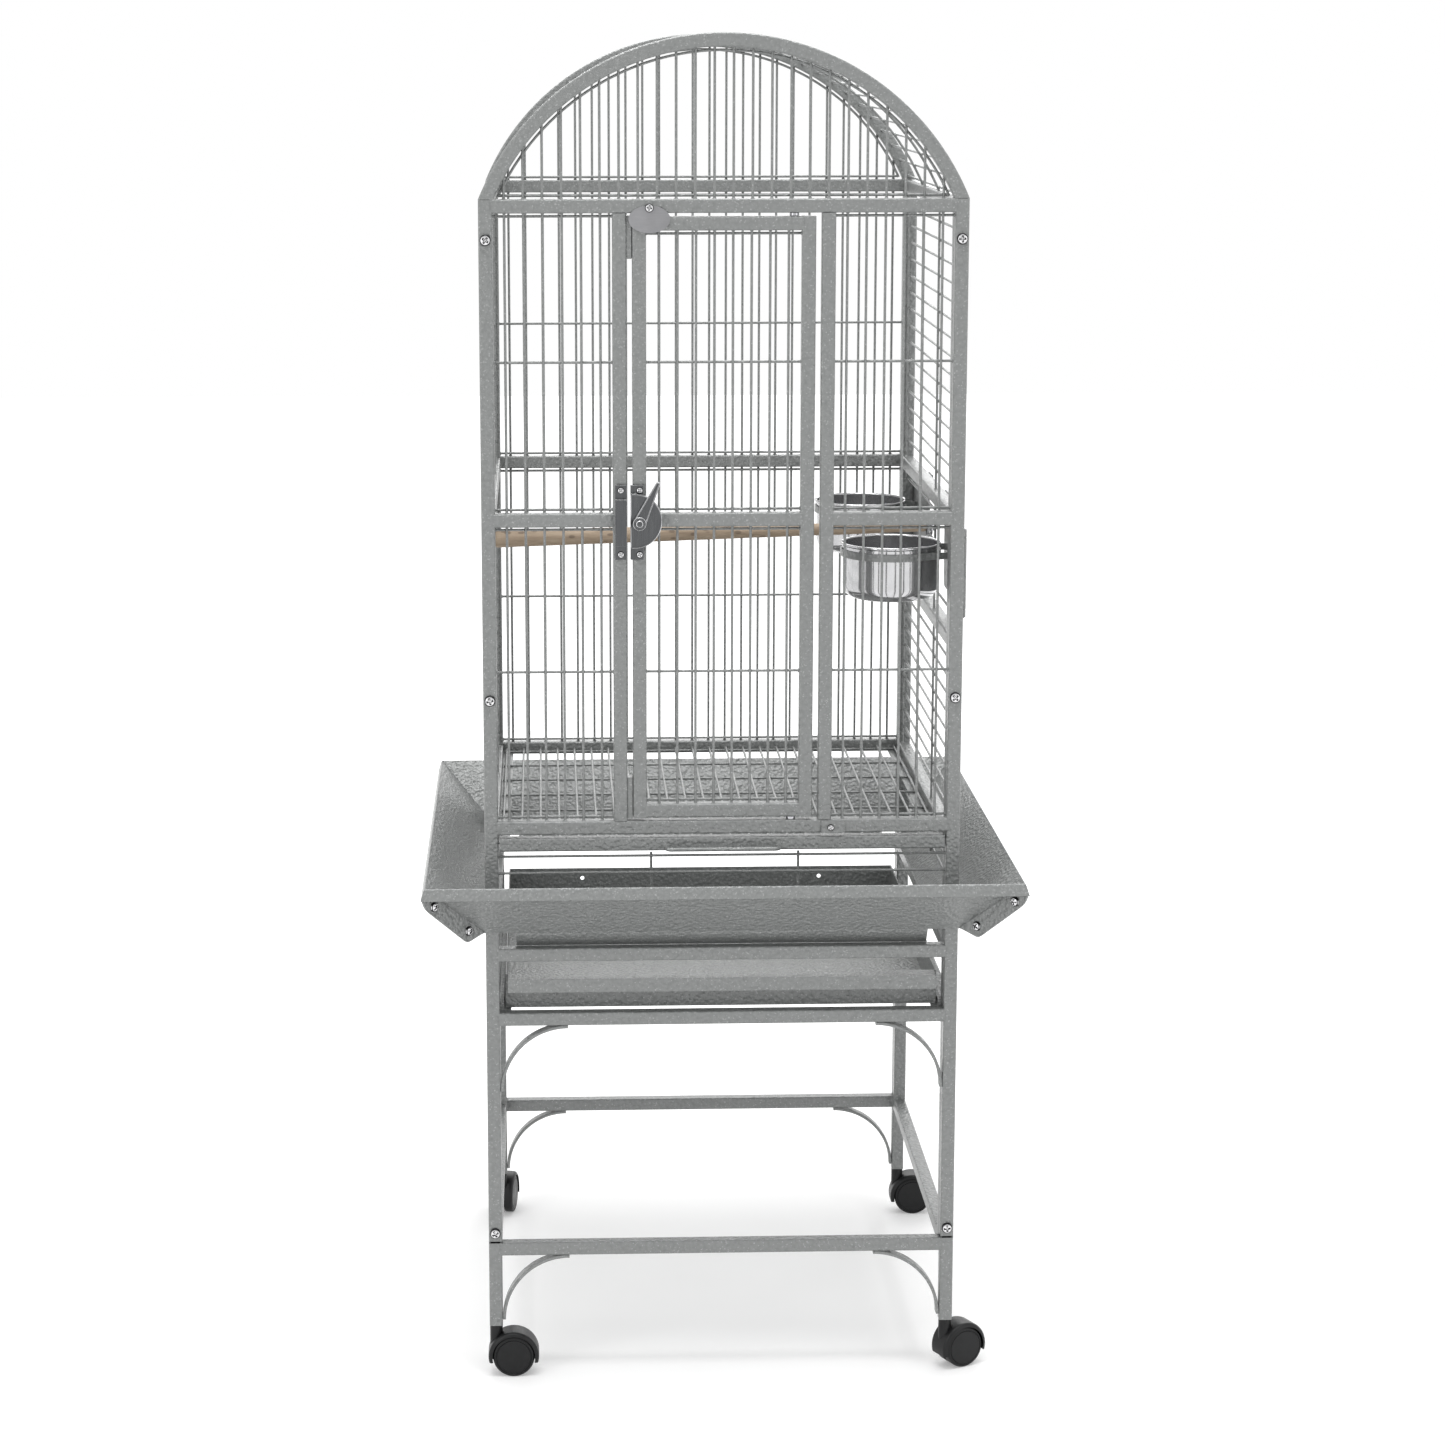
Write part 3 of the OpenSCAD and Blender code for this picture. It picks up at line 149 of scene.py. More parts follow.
class Shape:
    """The vertices and faces of one piece."""

    def __init__(self):
        self.verts, self.faces = [], []

    def loft(self, rings, joined=False):
        """A skin over closed rings of as many points each; its ends are capped unless they join."""
        n, m = len(rings[0]), len(rings)
        faces = []
        for i in range(m if joined else m - 1):
            for j in range(n):
                k, after = (j + 1) % n, (i + 1) % m
                faces.append((i * n + j, i * n + k, after * n + k, after * n + j))
        if not joined:
            faces += [tuple(range(n)), tuple(range((m - 1) * n, m * n))]
        base = len(self.verts)
        self.verts += [tuple(p) for ring in rings for p in ring]
        self.faces += [tuple(base + i for i in face) for face in faces]

    def rod(self, p, q, r=WIRE_R, flare="", sides=WIRE_SIDES):
        """A round bar; flare names the ends, s and e, where a weld swells it."""
        p, q = Vector(p), Vector(q)
        d, a, b = around(q - p)
        run = (q - p).length
        stations = [(0, r), (run, r)]
        if "s" in flare:
            stations[0:1] = [(t, r * swell) for t, swell in FLARE]
        if "e" in flare:
            stations[-1:] = [(run - t, r * swell) for t, swell in reversed(FLARE)]
        self.loft([[p + d * t + spoke(a, b, k, sides) * s for k in range(sides)]
                   for t, s in stations])

    def sweep(self, path, r=WIRE_R, sides=WIRE_SIDES):
        """A round bar along points that are close together."""
        path = [Vector(p) for p in path]
        rings, side = [], None
        for i, p in enumerate(path):
            d = (path[min(i + 1, len(path) - 1)] - path[max(i - 1, 0)]).normalized()
            side = around(d)[1] if side is None else (side - d * side.dot(d)).normalized()
            up = d.cross(side)
            rings.append([p + spoke(side, up, k, sides) * r for k in range(sides)])
        self.loft(rings)

    def blob(self, c, size):
        """A lump of weld; size is half its extent along each axis."""
        rows, sides = 5, 8
        rings = []
        for i in range(rows):
            t = math.pi * (i + 0.5) / rows
            rings.append([(c[0] + size[0] * math.sin(t) * math.cos(2 * math.pi * k / sides),
                           c[1] + size[1] * math.sin(t) * math.sin(2 * math.pi * k / sides),
                           c[2] + size[2] * math.cos(t)) for k in range(sides)])
        self.loft(rings)

    def lathe(self, profile, origin, axis, sides=48):
        """A turned form; profile is a list of (radius, height) along the axis."""
        o = Vector(origin)
        d, a, b = around(axis)
        self.loft([[o + d * t + spoke(a, b, k, sides) * max(r, 0.02) for k in range(sides)]
                   for r, t in profile])

    def build(self, node, paint=PAINT, smooth=SMOOTH_ANGLE):
        """Makes the piece that stands for a CAD node."""
        mesh = bpy.data.meshes.new("look_" + node)
        mesh.from_pydata([tuple(c * MM for c in v) for v in self.verts], [], self.faces)
        piece = bpy.data.objects.new("look_" + node, mesh)
        scene.collection.objects.link(piece)
        finish_piece(piece, node, paint, smooth)


def finish_piece(piece, node, paint, smooth=SMOOTH_ANGLE, bevel=0):
    """Gives a piece its finish and smooth faces, and has it stand for a CAD node on its body."""
    mesh = piece.data
    bm = bmesh.new()
    bm.from_mesh(mesh)
    bmesh.ops.recalc_face_normals(bm, faces=bm.faces)
    bm.to_mesh(mesh)
    bm.free()
    mesh.materials.clear()
    mesh.materials.append(MATERIALS[paint])
    mesh.shade_smooth()
    if bevel:
        mod = piece.modifiers.new("edges", "BEVEL")
        mod.width = bevel * MM
        mod.segments = 3
        mod.limit_method = "ANGLE"
        mod.angle_limit = math.radians(30)
        mod.harden_normals = False
    mesh.set_sharp_from_angle(angle=math.radians(smooth))
    mod = piece.modifiers.new("normals", "WEIGHTED_NORMAL")
    mod.keep_sharp = True
    mod.weight = 80
    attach(piece, BODY[node])
    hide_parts(node)


def solids(node):
    """The box of each separate solid in a CAD node, in millimetres."""
    mesh = frame["nodes"][node].data
    co = np.empty(len(mesh.vertices) * 3)
    mesh.vertices.foreach_get("co", co)
    co = co.reshape(-1, 3) / MM
    _, same = np.unique(np.round(co, 2), axis=0, return_inverse=True)
    same = same.ravel()
    group = list(range(same.max() + 1))

    def root(i):
        while group[i] != i:
            group[i] = group[group[i]]
            i = group[i]
        return i

    for poly in mesh.polygons:
        ids = [root(same[v]) for v in poly.vertices]
        for i in ids[1:]:
            group[root(i)] = root(ids[0])
    roots = np.array([root(s) for s in same])
    found = [(co[roots == r].min(0), co[roots == r].max(0)) for r in np.unique(roots)]
    return sorted(found, key=lambda f: tuple(np.round(np.concatenate(f), 1)))


def rounded_box(u0, u1, v0, v1, r):
    """The outline of a box with rounded corners."""
    outline = []
    middles = ((u1 - r, v1 - r), (u0 + r, v1 - r), (u0 + r, v0 + r), (u1 - r, v0 + r))
    for quarter, (u, v) in enumerate(middles):
        outline += arc(u, v, r, [90 * quarter + 22.5 * k for k in range(5)])
    return outline


def tube(shape, low, high, axis, grow=0.0):
    """A square tube with rounded edges that fills a box; its ends reach grow further."""
    u, v = [i for i in range(3) if i != axis]
    rings = []
    outline = rounded_box(low[u], high[u], low[v], high[v], CORNER)
    for t in (low[axis] - grow, high[axis] + grow):
        ring = []
        for a, b in outline:
            p = [0, 0, 0]
            p[u], p[v], p[axis] = a, b, t
            ring.append(p)
        rings.append(ring)
    shape.loft(rings)


def frame_piece(node):
    """A welded frame of square tubes, with a rounded tube in the place of each solid."""
    shape = Shape()
    for low, high in solids(node):
        size = high - low
        if sorted(size)[1] < TUBE - 1:
            continue
        axis = int(np.argmax(size))
        post = axis == 2 and size[2] > POST_HEIGHT
        tube(shape, low, high, axis, grow=0 if post else TUBE_INTO_WELD)
    return shape


def centred(a, b, n, pitch):
    """Places of n bars at a pitch, about the middle of a span."""
    return [(a + b) / 2 + (i - (n - 1) / 2) * pitch for i in range(n)]


def spread(a, b):
    """Even places of bars between the ends of a span, close to the usual pitch."""
    n = max(1, round((b - a) / PITCH) - 1)
    return [a + (b - a) * i / (n + 1) for i in range(1, n + 1)]


def front_grille(shape, xs, x0, x1, z0, z1, lines, side):
    """Upright bars in front (-1) or in the rear (1), with cross wires on their inner side."""
    y, weld_y, wire_y = side * POST, side * POST - side * WELD / 2, side * POST - side * WELD
    for x in xs:
        shape.rod((x, y, z0 - INTO_WELD), (x, y, z1 + INTO_WELD), flare="se")
        for z in lines:
            shape.blob((x, weld_y, z), (NUGGET, NUGGET_DEEP, NUGGET))
    for z in lines:
        shape.rod((x0 - INTO_WELD, wire_y, z), (x1 + INTO_WELD, wire_y, z), flare="se")


def side_grille(shape, zs, z0, z1, side):
    """Level bars on the left (-1) or the right (1), with upright wires on their inner side."""
    x, weld_x, wire_x = side * POST, side * POST - side * WELD / 2, side * POST - side * WELD
    for z in zs:
        shape.rod((x, -BAY - INTO_WELD, z), (x, BAY + INTO_WELD, z), flare="se")
        for y in SIDE_WIRES:
            shape.blob((weld_x, y, z), (NUGGET_DEEP, NUGGET, NUGGET))
    for y in SIDE_WIRES:
        shape.rod((wire_x, y, z0 - INTO_WELD), (wire_x, y, z1 + INTO_WELD), flare="se")


# ---- materials

MATERIALS = {}


class Nodes:
    """A material's node tree around one Principled shader, in the piece's own coordinates."""

    def __init__(self, name, **values):
        mat = bpy.data.materials.new(name)
        mat.use_nodes = True
        self.tree = mat.node_tree
        self.tree.nodes.clear()
        self.shader = self.node("BsdfPrincipled")
        self.link(self.shader.outputs[0], self.node("OutputMaterial").inputs[0])
        for key, value in values.items():
            self.shader.inputs[key.replace("_", " ")].default_value = value
        self.place = self.node("TexCoord").outputs["Object"]
        MATERIALS[name] = mat

    def node(self, kind, **settings):
        made = self.tree.nodes.new("ShaderNode" + kind)
        for key, value in settings.items():
            setattr(made, key, value)
        return made

    def link(self, a, b):
        self.tree.links.new(a, b)

    def put(self, name, socket):
        self.link(socket, self.shader.inputs[name])

    def stretched(self, scale):
        made = self.node("Mapping")
        made.inputs["Scale"].default_value = scale
        self.link(self.place, made.inputs[0])
        return made.outputs[0]

    def noise(self, scale, detail, rough, place=None):
        made = self.node("TexNoise")
        made.inputs["Scale"].default_value = scale
        made.inputs["Detail"].default_value = detail
        made.inputs["Roughness"].default_value = rough
        self.link(place or self.place, made.inputs["Vector"])
        return made.outputs[0]

    def cells(self, scale, feature="F1", place=None, output="Distance"):
        made = self.node("TexVoronoi", feature=feature)
        made.inputs["Scale"].default_value = scale
        self.link(place or self.place, made.inputs["Vector"])
        return made.outputs[output]

    def ramp(self, value, *stops):
        made = self.node("ValToRGB")
        line = made.color_ramp
        while len(line.elements) < len(stops):
            line.elements.new(0.5)
        for element, (at, colour) in zip(line.elements, stops):
            element.position = at
            element.color = (*colour, 1)
        self.link(value, made.inputs[0])
        return made.outputs[0]

    def grey(self, value, *stops):
        return self.ramp(value, *[(at, (g, g, g)) for at, g in stops])

    def math(self, kind, a, b):
        made = self.node("Math", operation=kind)
        for i, side in enumerate((a, b)):
            if isinstance(side, (int, float)):
                made.inputs[i].default_value = side
            else:
                self.link(side, made.inputs[i])
        return made.outputs[0]

    def blend(self, factor, a, b):
        made = self.node("Mix", data_type="RGBA")
        self.link(factor, made.inputs[0])
        for i, side in ((6, a), (7, b)):
            if isinstance(side, bpy.types.NodeSocket):
                self.link(side, made.inputs[i])
            else:
                made.inputs[i].default_value = (*side, 1)
        return made.outputs[2]

    def facing(self):
        """How much a face looks along each axis."""
        part = self.node("SeparateXYZ")
        self.link(self.node("TexCoord").outputs["Normal"], part.inputs[0])
        return [self.math("ABSOLUTE", axis, 0.0) for axis in part.outputs]

    def brushed(self, streak, lowest, highest, bump):
        """Fine streaks and broad stains, with the gloss and the bump that they give."""
        fine, stain = self.noise(600, 2, 0.6, self.stretched(streak)), self.noise(45, 3, 0.6)
        both = self.math("ADD", self.math("MULTIPLY", fine, 0.6), self.math("MULTIPLY", stain, 0.4))
        self.put("Roughness", self.grey(both, (0.3, lowest), (0.75, highest)))
        self.put("Normal", self.bump(fine, bump, 0.0002))
        return fine, stain

    def bump(self, height, strength, distance):
        made = self.node("Bump")
        made.inputs["Strength"].default_value = strength
        made.inputs["Distance"].default_value = distance
        self.link(height, made.inputs["Height"])
        return made.outputs[0]


def make_hammertone():
    n = Nodes("hammertone_paint", Metallic=0.2, Coat_Weight=0.25, Coat_Roughness=0.22)
    worms = n.cells(300, "SMOOTH_F1")
    pits = n.noise(480, 2, 0.5)
    height = n.math("ADD", n.math("MULTIPLY", worms, 1.2), n.math("MULTIPLY", pits, 0.5))
    broad = n.noise(9, 2, 0.5)
    body = n.ramp(worms, (0.0, (0.236, 0.243, 0.240)), (0.45, (0.211, 0.218, 0.215)),
                  (0.9, (0.174, 0.181, 0.178)))
    body = n.blend(n.grey(broad, (0.35, 0.0), (0.65, 0.3)), body, (0.22, 0.227, 0.224))
    # painted glints: rare cells lightened toward white in the base colour
    glint_cells = n.cells(900, output="Color")
    split = n.node("SeparateColor")
    n.link(glint_cells, split.inputs[0])
    painted_glint = n.grey(split.outputs[0], (0.93, 0.0), (0.98, 1.0))
    n.put("Base Color", n.blend(n.math("MULTIPLY", painted_glint, 0.2), body, (0.72, 0.73, 0.73)))
    n.put("Roughness", n.grey(pits, (0.3, 0.30), (0.7, 0.44)))
    bump = n.bump(height, 1.0, 0.0009)
    n.put("Normal", bump)
    n.put("Coat Normal", bump)


def make_metal(name, colour, rough, streak, scratch=0.25, bump=0.06, metallic=0.92):
    """Bright metal with fine brushed or rubbed streaks."""
    n = Nodes(name, Metallic=metallic)
    fine, stain = n.brushed(streak, rough * 0.7, rough * 1.5, bump)
    tone = n.ramp(stain, (0.3, tuple(c * 0.82 for c in colour)), (0.7, colour))
    dark = tuple(c * 0.6 for c in colour)
    n.put("Base Color", n.blend(n.math("MULTIPLY", fine, scratch), tone, dark))


def make_screw_metal(name, across, along):
    """Plating painted bright on faces toward the driver as a highlight, and dark at the rim and in
    the recess as painted shade.
    """
    n = Nodes(name, Metallic=0.95)
    x, y, _ = n.facing()
    facing = n.math("ADD", n.math("MULTIPLY", x, across), n.math("MULTIPLY", y, along))
    stain = n.noise(300, 3, 0.6)
    # painted light: dark at the rim and in the recess for shade, bright toward the driver for a
    # highlight
    painted_light_mask = n.grey(n.math("ADD", facing, n.math("MULTIPLY", stain, 0.08)), (0.86, 0.0), (0.98, 1.0))
    n.put("Base Color", n.blend(painted_light_mask, (0.03, 0.03, 0.032), (0.68, 0.68, 0.69)))
    n.put("Roughness", n.grey(stain, (0.3, 0.14), (0.75, 0.28)))


def make_gunmetal():
    """Dark plating, with a painted highlight where an edge turns away from the flat faces."""
    n = Nodes("gunmetal", Metallic=0.9)
    fine, stain = n.brushed((1, 1, 0.06), 0.2, 0.4, 0.12)
    flat = 0.0
    for size in n.facing():
        flat = n.math("MAXIMUM", size, flat)
    # painted highlight: bevels and curved faces lightened toward white in the base colour
    painted_edge_highlight = n.grey(n.math("ADD", flat, n.math("MULTIPLY", stain, 0.06)), (0.86, 1.0), (0.99, 0.0))
    tone = n.blend(fine, (0.115, 0.118, 0.122), (0.075, 0.077, 0.08))
    n.put("Base Color", n.blend(n.math("MULTIPLY", painted_edge_highlight, 0.85), tone, (0.72, 0.72, 0.73)))


def make_wood():
    n = Nodes("perch_wood")
    along = n.stretched((0.12, 1.0, 1.0))
    grain = n.noise(240, 4, 0.65, along)
    fibre = n.noise(900, 2, 0.5, n.stretched((0.05, 1.0, 1.0)))
    patch = n.noise(26, 3, 0.6)
    base = n.ramp(grain, (0.25, (0.26, 0.195, 0.135)), (0.5, (0.37, 0.285, 0.205)),
                  (0.75, (0.45, 0.36, 0.27)))
    base = n.blend(n.grey(patch, (0.4, 0.0), (0.7, 0.5)), base, (0.32, 0.24, 0.172))
    knots = n.cells(38, place=n.stretched((0.55, 1.0, 1.0)))
    uneven = n.math("MULTIPLY", n.noise(260, 2, 0.5), 0.08)
    ring = n.grey(n.math("ADD", knots, uneven), (0.24, 1.0), (0.33, 0.0))
    base = n.blend(n.math("MULTIPLY", ring, 0.85), base, (0.06, 0.045, 0.035))
    specks = n.cells(120, place=n.stretched((0.5, 1.0, 1.0)))
    speck = n.grey(specks, (0.17, 1.0), (0.26, 0.0))
    base = n.blend(n.math("MULTIPLY", speck, 0.6), base, (0.1, 0.07, 0.05))
    n.put("Base Color", base)
    n.put("Roughness", n.grey(fibre, (0.3, 0.55), (0.7, 0.78)))
    n.put("Normal", n.bump(n.math("ADD", grain, n.math("MULTIPLY", ring, -1.0)), 0.5, 0.0006))


def make_plastic():
    n = Nodes("caster_plastic", Specular_IOR_Level=0.3)
    grain = n.noise(1500, 3, 0.6)
    wear = n.noise(60, 4, 0.65)
    n.put("Base Color", n.ramp(wear, (0.35, (0.005, 0.0052, 0.0056)), (0.7, (0.01, 0.0104, 0.011))))
    n.put("Roughness", n.grey(wear, (0.3, 0.3), (0.7, 0.46)))
    n.put("Normal", n.bump(grain, 0.22, 0.0003))


make_hammertone()
make_metal("chrome", (0.50, 0.50, 0.52), 0.15, (1, 1, 1))
make_gunmetal()
make_screw_metal("screw_plating", 0.0, 1.0)
make_screw_metal("guard_screw_plating", 0.7071, 0.7071)
make_metal("steel", (0.64, 0.64, 0.65), 0.11, (1, 1, 0.04), 0.5, 0.03, 0.85)
make_metal("badge_steel", (0.32, 0.32, 0.33), 0.34, (0.06, 1, 1), 0.4, 0.05, 0.8)
make_wood()
make_plastic()

# ---- welded frames

for node in ("front_frame", "rear_frame", "left_frame", "right_frame", "door_frame", "base_frame"):
    frame_piece(node).build(node)


ARCH_INTO_WELD, ARCH_STEPS = 0.4, 72


def on_dome(r, y, a):
    """The point at an angle from the top of a circle about the dome's axis."""
    return r * math.sin(a), y, DOME_Z + r * math.cos(a)


def arch_rings(side):
    """Rings of a rounded square section along the dome; both ends lie level on the eave rail."""
    outline = rounded_box(side * POST - TUBE / 2, side * POST + TUBE / 2, DOME_IN, DOME_R, CORNER)
    low = EAVE_TOP - ARCH_INTO_WELD
    rings = []
    for i in range(ARCH_STEPS + 1):
        t = 2 * i / ARCH_STEPS - 1
        rings.append([on_dome(r, y, t * math.acos((low - DOME_Z) / r)) for y, r in outline])
    return rings


for side, node in ((-1, "front_arch"), (1, "rear_arch")):
    shape = Shape()
    shape.loft(arch_rings(side))
    shape.build(node)

# ---- wire panels

WALL_BARS = centred(-INNER, INNER, int(2 * INNER // PITCH), PITCH)
SIDE_WIRES = [-BAY + BORDER, -SIDE_UPRIGHT, SIDE_UPRIGHT, BAY - BORDER]
LOW_LINES = [SILL_TOP + BORDER, LOWER_CROSS, WAIST_Z - BORDER]
HIGH_LINES = [WAIST_TOP + BORDER, UPPER_CROSS, EAVE_Z - BORDER]


def make_front_and_rear():
    for node in ("front_left_bars", "front_right_bars"):
        low, high = box(node)
        a, b = low.x - SEAM, high.x + SEAM
        xs = centred(a, b, int((b - a) // PITCH), PITCH)
        shape = Shape()
        front_grille(shape, xs, a, b, SILL_TOP, WAIST_Z, LOW_LINES, -1)
        front_grille(shape, xs, a, b, WAIST_TOP, EAVE_Z, HIGH_LINES, -1)
        shape.build(node)

    shape = Shape()
    low_lines = [GRATE_TOP + BORDER] + LOW_LINES[1:]
    front_grille(shape, WALL_BARS, -INNER, INNER, GRATE_TOP, WAIST_Z, low_lines, 1)
    front_grille(shape, WALL_BARS, -INNER, INNER, WAIST_TOP, EAVE_Z, HIGH_LINES, 1)
    shape.build("rear_bars")


def make_sides():
    shape = Shape()
    side_grille(shape, spread(GRATE_TOP, WAIST_Z), GRATE_TOP, WAIST_Z, -1)
    side_grille(shape, spread(WAIST_TOP, EAVE_Z), WAIST_TOP, EAVE_Z, -1)
    shape.build("left_bars")

    shape = Shape()
    z0, z1 = FEEDER_BAR_LOW, FEEDER_BAR_HIGH
    side_grille(shape, spread(GRATE_TOP, FEEDER_Z), GRATE_TOP, FEEDER_Z, 1)
    side_grille(shape, spread(WAIST_TOP, EAVE_Z), WAIST_TOP, EAVE_Z, 1)
    side_grille(shape, [z0], FEEDER_TOP, z0 + WIRE_R, 1)
    side_grille(shape, [z1], z1 - WIRE_R, WAIST_Z, 1)
    reach = SIDE_UPRIGHT + PAST_UPRIGHT
    for i in range(1, FEEDER_BARS + 1):
        z = z0 + (z1 - z0) * i / (FEEDER_BARS + 1)
        shape.rod((POST, -reach, z), (POST, reach, z))
    for y in (-SIDE_UPRIGHT, SIDE_UPRIGHT):
        shape.rod((POST - WELD, y, z0), (POST - WELD, y, z1))
    shape.build("right_bars")


def make_door_grille():
    shape = Shape()
    a = -DOOR_HW + TUBE
    xs = centred(a, -a, int(2 * DOOR_HW // DOOR_PITCH) - 1, DOOR_PITCH)
    z0, z1 = DOOR_Z0 + TUBE, DOOR_Z1 - TUBE
    front_grille(shape, xs, a, -a, z0, WAIST_Z, [z0 + BORDER] + LOW_LINES[1:], -1)
    front_grille(shape, xs, a, -a, WAIST_TOP, z1, HIGH_LINES[:2] + [z1 - BORDER], -1)
    shape.build("door_bars")


# a gable bar's reach into the arch; the gable hoop's way in from the bars, and its ends
GABLE_INTO_ARCH, GABLE_HOOP_IN, GABLE_HOOP_DROP, HOOP_STEPS = 0.8, 2.45, 1, 90
# the roof bars keep this many degrees from the dome's ends; their welds with the hoops
ROOF_END, ROOF_NUGGET, ROOF_NUGGET_IN = 1.2, (1.5, 1.75, 1.5), 0.1


def hoop_wire(shape, r, y, end):
    """A wire bent along the dome, to the same angle on both sides."""
    shape.sweep([on_dome(r, y, a) for a in np.linspace(-end, end, HOOP_STEPS)])


def make_dome():
    hoop, low = DOME_IN - BORDER, EAVE_TOP + BORDER
    reach = math.sqrt(hoop ** 2 - (low - DOME_Z) ** 2)
    for side, node in ((-1, "front_dome_bars"), (1, "rear_dome_bars")):
        shape = Shape()
        y = side * POST
        for x in WALL_BARS:
            if abs(x) < INNER - BORDER:
                top = DOME_Z + math.sqrt(DOME_IN ** 2 - x ** 2)
                crest = DOME_Z + math.sqrt(hoop ** 2 - x * x)
                shape.rod((x, y, EAVE_TOP - INTO_WELD), (x, y, top + GABLE_INTO_ARCH), flare="s")
                for z in (low, crest):
                    shape.blob((x, y - side * WELD / 2, z), (NUGGET, NUGGET_DEEP, NUGGET))
        shape.rod((-reach, y - side * WELD, low), (reach, y - side * WELD, low))
        end = math.acos((low - GABLE_HOOP_DROP - DOME_Z) / hoop)
        hoop_wire(shape, hoop, y - side * GABLE_HOOP_IN, end)
        shape.build(node)

    end = math.degrees(math.asin(POST / DOME_BAR)) - ROOF_END
    n = 2 * int(math.radians(end) * DOME_BAR // PITCH) + 1
    angles = [math.radians(-end + 2 * end * i / (n - 1)) for i in range(n)]
    shape = Shape()
    for a in angles:
        ends = [on_dome(DOME_BAR, side * (INNER + INTO_WELD), a) for side in (-1, 1)]
        shape.rod(*ends, flare="se")
    shape.build("dome_bars")

    shape = Shape()
    hoop = DOME_BAR - 2 * WIRE_R - SEAM
    r = DOME_BAR - WIRE_R - ROOF_NUGGET_IN
    for y in (-SIDE_UPRIGHT, SIDE_UPRIGHT):
        hoop_wire(shape, hoop, y, math.acos((EAVE_TOP - INTO_WELD - DOME_Z) / hoop))
        for a in angles:
            shape.blob(on_dome(r, y, a), ROOF_NUGGET)
    shape.build("dome_hoops")


def make_apron():
    shape = Shape()
    z0, z1 = min(APRON_LINES) - APRON_PAST, max(APRON_LINES) + APRON_PAST
    for z in APRON_LINES:
        shape.rod((-INNER - INTO_WELD, -POST, z), (INNER + INTO_WELD, -POST, z), flare="se")
    for x in APRON_UPRIGHTS:
        shape.rod((x, -POST + WELD, z0), (x, -POST + WELD, z1))
        for z in APRON_LINES:
            shape.blob((x, -POST + WELD / 2, z), (NUGGET, NUGGET_DEEP, NUGGET))
    for s in (-1, 1):
        for z in APRON_LINES:
            shape.rod((s * POST, -BAY - INTO_WELD, z), (s * POST, BAY + INTO_WELD, z), flare="se")
        for y in (-SIDE_UPRIGHT, SIDE_UPRIGHT):
            shape.rod((s * (POST - WELD), y, z0), (s * (POST - WELD), y, z1))
            for z in APRON_LINES:
                shape.blob((s * (POST - WELD / 2), y, z), (NUGGET_DEEP, NUGGET, NUGGET))
    shape.build("apron_wires")


make_front_and_rear()
make_sides()
make_door_grille()
make_dome()
make_apron()

# ---- braces, bolts and screws

# a brace's thickness, the softening of its edges, and the steps of its quarter circle
BRACE_T, BRACE_SOFT, BRACE_STEPS = 3.0, 0.6, 28


def make_braces():
    t, soft = BRACE_T, BRACE_SOFT
    shape = Shape()
    for low, high in solids("stand_braces"):
        side = 1 if low[0] > 0 else -1
        r = high[2] - low[2]
        cx = (high[0] - r) if side > 0 else (low[0] + r)
        y0, y1, cz = low[1], high[1], high[2] - r
        section = ((r, y0 + soft), (r, y1 - soft), (r - soft, y1), (r - t + soft, y1),
                   (r - t, y1 - soft), (r - t, y0 + soft), (r - t + soft, y0), (r - soft, y0))
        rings = []
        for k in range(BRACE_STEPS + 1):
            a = math.radians(90 * k / BRACE_STEPS)
            rings.append([(cx + side * q * math.sin(a), y, cz + q * math.cos(a))
                          for q, y in section])
        shape.loft(rings)
    shape.build("stand_braces")


make_braces()

# over a head's radius or height: its rim's height, the recess's half breadth, half length and depth
RIM_UP, SLOT_HALF, SLOT_REACH, SLOT_DEEP = 0.32, 0.12, 0.56, 0.5
# head radius and height, shank radius and length
FRAME_BOLT = (5.3, 3.4, 2.4, 24)
GUARD_BOLT = (4.7, 3.0, 2.4, 7.0)
SCREW_R, SCREW_HEAD_H, BADGE_HEAD_H = 1.5, 2.0, 2.4
# a broader head is the badge's; the heads are turned at random up to so many radians
BADGE_HEAD_FROM, MOST_TURN = 7, 1.5
# a guard bolt's places out along the corner, the way from the flanges' middle to its head, and the
# height that the lower bolts lie under
GUARD_BOLT_FROM, GUARD_BOLT_AT, GUARD_BOLT_OFF = HW + 0.4, (16.2, 48.0), 1.095
GUARD_BOLT_SPLIT = 475
NUT_ACROSS, NUT_H, NUT_HOLE = 8.0, 3.5, 2.43


def cross_head(shape, at, out, r, h, turn):
    """A pan head with a cross recess; out is the way that it faces."""
    at = Vector(at)
    d, a, b = around(out)
    a, b = a * math.cos(turn) + b * math.sin(turn), b * math.cos(turn) - a * math.sin(turn)
    sides, rows = 48, 15
    rings = []
    for i in range(rows + 1):
        q = 1 - i / rows
        rho = r * q
        top = h * (RIM_UP + (1 - RIM_UP) * math.sqrt(max(0, 1 - q ** 3.2)))
        ring = []
        for k in range(sides):
            t = 2 * math.pi * k / sides
            x, y = rho * math.cos(t), rho * math.sin(t)
            slot, reach = r * SLOT_HALF, r * SLOT_REACH
            near = min(max(abs(x) / reach, abs(y) / slot), max(abs(y) / reach, abs(x) / slot))
            dip = h * SLOT_DEEP * min(1, max(0, (1.25 - near) / 0.5)) if near < 1.25 else 0
            if rho <= 0.02:
                x, y = 0.01 * math.cos(t), 0.01 * math.sin(t)
            ring.append(at + a * x + b * y + d * (top - dip))
        rings.append(ring)
    shape.loft([[at + spoke(a, b, k, sides) * r for k in range(sides)]] + rings)


def screw(shape, at, out, r, h, shank_r, shank, turn):
    """A cross-head screw; at is the middle of its head's underside."""
    at, out = Vector(at), Vector(out).normalized()
    cross_head(shape, at, out, r, h, turn)
    shape.rod(at + out * 0.1, at - out * shank, shank_r)


